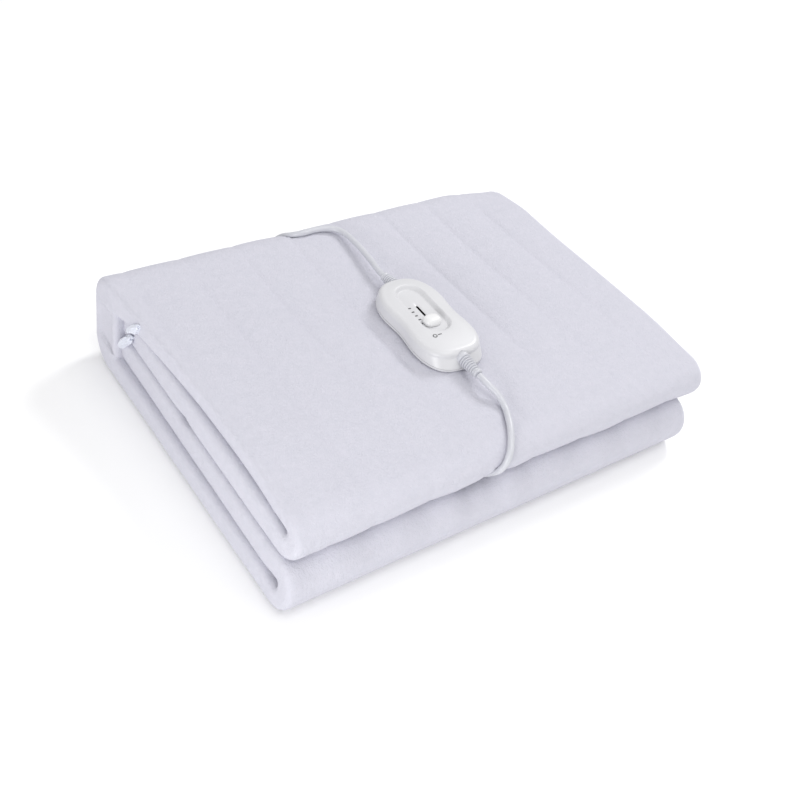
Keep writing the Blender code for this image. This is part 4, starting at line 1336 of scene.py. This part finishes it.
marks = []
for step in range(HEAT_STEPS):
    y = MARK_AT[1] + step * SLIDE_TRAVEL / (HEAT_STEPS - 1)
    marks.append(bar(MARK_AT[0], y, *MARK_SIZE, FLOOR_HEIGHT + FILM))
flat_mark("scale_marks", marks)
flat_mark("ring_and_dash", [ring(*RING_AT, RING_RADIUS, RING_LINE, CONTROL_HEIGHT + FILM),
                            bar(*DASH_AT, *DASH_SIZE, CONTROL_HEIGHT + FILM)])
print(len(marks), "scale marks, a ring and a dash")

# %% [markdown]
# ## Strain reliefs
#
# Where a lead leaves the control, a moulded PVC sleeve keeps it from kinking. It tapers and has
# ribs, so that it bends evenly. A profile is turned round the lead's axis, with each rib rounded.

# %% Sizes of the strain reliefs
RELIEF_FRONT_LENGTH = 0.0242
RELIEF_BACK_LENGTH = 0.0196
FRONT_RIBS = 7
BACK_RIBS = 5
RELIEF_HEIGHT = 0.0084
RELIEF_ROOT = 0.0054
RELIEF_TIP = 0.0040
RELIEF_BURIED = 0.0080
RIBS_FROM = 0.0056
RIB_EDGE = 0.0002
COLLAR_LENGTH = 0.0026
COLLAR_ROUND = 0.0004
BACK_RELIEF_TURN = math.radians(6)
RELIEF_ROUND = 48
# One rib and the groove before it: the share of the pitch, and how far the surface lies in there.
RIB_PROFILE = ((0.0, 0.0004), (0.05, 0.0013), (0.14, 0.0017), (0.30, 0.0017), (0.40, 0.0013),
               (0.45, 0.0003), (0.53, 0.0), (0.85, 0.0), (0.95, 0.0001))
# The collar at the tip: how far its surface lies in, and how far from the tip.
COLLAR_PROFILE = ((COLLAR_ROUND, 0.0025), (0.0, 0.0022), (0.0, 0.0008), (COLLAR_ROUND, 0.0001))
print("ribs", FRONT_RIBS, BACK_RIBS)


# %% Strain reliefs
def relief_mesh(name, length, ribs):
    """A tapered sleeve with ribs, turned round Z from its root to its tip."""
    profile = [(0.0, 0.0), (RELIEF_ROOT, 0.0), (RELIEF_ROOT, RIBS_FROM - RIB_EDGE)]
    pitch = (length - RIBS_FROM - COLLAR_LENGTH) / ribs
    for rib in range(ribs):
        radius = mix(RELIEF_ROOT, RELIEF_TIP, (rib + 0.5) / ribs)
        profile += [(radius - drop, RIBS_FROM + (rib + share) * pitch)
                    for share, drop in RIB_PROFILE]
    profile += [(RELIEF_TIP - drop, length - from_tip) for drop, from_tip in COLLAR_PROFILE]
    profile += [(LEAD / 2, length), (0.0, length)]
    bm = bmesh.new()
    rows = []
    for radius, z in profile:
        rows.append([bm.verts.new((radius * math.cos(2 * math.pi * step / RELIEF_ROUND),
                                   radius * math.sin(2 * math.pi * step / RELIEF_ROUND), z))
                     for step in range(RELIEF_ROUND)])
    for low, high in zip(rows, rows[1:]):
        for step in range(RELIEF_ROUND):
            after = (step + 1) % RELIEF_ROUND
            bm.faces.new((low[step], low[after], high[after], high[step]))
    bmesh.ops.remove_doubles(bm, verts=bm.verts, dist=TINY)
    bmesh.ops.recalc_face_normals(bm, faces=bm.faces)
    return finish_mesh(bm, name)


def relief_place(end, turn):
    """Where a strain relief's root sits in the housing. end is 1 at the back, -1 at the front."""
    offset = (end * RELIEF_BURIED * math.sin(turn),
              end * (CONTROL_LENGTH / 2 - RELIEF_BURIED * math.cos(turn)), RELIEF_HEIGHT)
    return on_control(offset, -end * math.pi / 2, turn)


front_mesh = relief_mesh("front_relief", RELIEF_FRONT_LENGTH, FRONT_RIBS)
front_relief = add_piece("front_relief", front_mesh, pvc, relief_place(-1, 0.0))
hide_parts("front_strain_relief")
back_mesh = relief_mesh("back_relief", RELIEF_BACK_LENGTH, BACK_RIBS)
back_relief = add_piece("back_relief", back_mesh, pvc, relief_place(1, BACK_RELIEF_TURN))
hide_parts("back_strain_relief")
print("strain reliefs", len(front_mesh.polygons), len(back_mesh.polygons), "faces")

# %% [markdown]
# ## Plug, pins and tie
#
# The plug lies behind the stack. Its solid has the right shape, so it keeps it and gets a real
# finish: moulded PVC for the body, nickel-plated brass for the pins, and woven nylon for the tie.

# %% Nickel and nylon
def plated_nickel():
    """Bright plating with fine scuffs."""
    material, tree, shader = start_material("nickel_plated_brass", {
        "Metallic": 1.0, "Base Color": linear("#c9c4ba"), "Roughness": 0.22})
    where = add_node(tree, "ShaderNodeTexCoord")
    scuffs = add_node(tree, "ShaderNodeTexNoise", {"Scale": 900.0, "Detail": 3.0},
                      {"Vector": where.outputs["Object"]})
    shine = add_node(tree, "ShaderNodeMapRange", {"To Min": 0.16, "To Max": 0.34},
                     {"Value": scuffs.outputs["Fac"]})
    tree.links.new(shine.outputs["Result"], shader.inputs["Roughness"])
    return material


def grey_nylon():
    """Matt tape with a raised weave."""
    material, tree, shader = start_material("grey_woven_nylon", {"Roughness": 0.75, "IOR": 1.53})
    where = add_node(tree, "ShaderNodeTexCoord")
    weave = add_node(tree, "ShaderNodeTexWave", {"Scale": 320.0, "Distortion": 0.4},
                     {"Vector": where.outputs["Object"]})
    tint = add_node(tree, "ShaderNodeValToRGB", links={"Fac": weave.outputs["Fac"]})
    tint.color_ramp.elements[0].color = linear("#7c7c80")
    tint.color_ramp.elements[1].color = linear("#a2a2a6")
    bump = add_node(tree, "ShaderNodeBump", {"Strength": 0.4, "Distance": 0.0003},
                    {"Height": weave.outputs["Fac"]})
    tree.links.new(tint.outputs["Color"], shader.inputs["Base Color"])
    tree.links.new(bump.outputs["Normal"], shader.inputs["Normal"])
    return material


finishes = {"plug_body": pvc, "plug_strain_relief": pvc, "plug_pin_left": plated_nickel(),
            "coil_tie": grey_nylon()}
finishes["plug_pin_right"] = finishes["plug_pin_left"]
for node, material in finishes.items():
    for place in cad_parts[node].material_slots:
        place.material = material
print("finished", sorted(finishes))

# %% [markdown]
# ## Floor and light
#
# The photograph is a cut-out on white. Its shadows are soft but clear and fall to the left, so one
# broad lamp stands high at the right. A wide weak one hangs over the front, because the top gets
# lighter towards its front fold, and a small low one lifts the left side. The white surroundings
# fill the rest over a pale matt floor.

# %% Floor
FLOOR_REACH = 6.0
FLOOR_DROP = 0.0005


def pale_floor():
    """A wide floor just under the blanket."""
    material = start_material("pale_floor", {
        "Roughness": 0.9, "Base Color": linear("#fefefe")})[0]
    bm = bmesh.new()
    bmesh.ops.create_grid(bm, x_segments=1, y_segments=1, size=FLOOR_REACH)
    mesh = bpy.data.meshes.new("floor")
    bm.to_mesh(mesh)
    bm.free()
    floor = bpy.data.objects.new("floor", mesh)
    floor.location.z = -FLOOR_DROP
    bpy.context.scene.collection.objects.link(floor)
    mesh.materials.append(material)
    return floor


floor = pale_floor()
print("floor", 2 * FLOOR_REACH, "m wide")

# %% Lamps and surroundings
LIT_PLACE = Vector((0, 0, 0.05))
SURROUNDINGS = 0.65  # how bright the white room is


def add_lamp(name, place, size, watts):
    """A round white lamp that points at the blanket."""
    data = bpy.data.lights.new(name, "AREA")
    data.shape = "DISK"
    data.size = size
    data.energy = watts
    lamp = bpy.data.objects.new(name, data)
    lamp.location = place
    lamp.rotation_euler = (Vector(place) - LIT_PLACE).to_track_quat("Z", "Y").to_euler()
    bpy.context.scene.collection.objects.link(lamp)


add_lamp("window", (1.6, 0.55, 1.75), 0.8, 23.5)
add_lamp("ceiling", (0.15, -0.78, 1.65), 1.2, 7.8)
add_lamp("side_fill", (-0.98, -0.60, 0.33), 0.5, 4.8)
world = bpy.data.worlds.new("white_room")
world.use_nodes = True
background = world.node_tree.nodes["Background"]
background.inputs["Color"].default_value = linear("#ffffff")
background.inputs["Strength"].default_value = SURROUNDINGS
bpy.context.scene.world = world
bpy.context.scene.view_settings.view_transform = "Standard"
print("lamps and floor set")
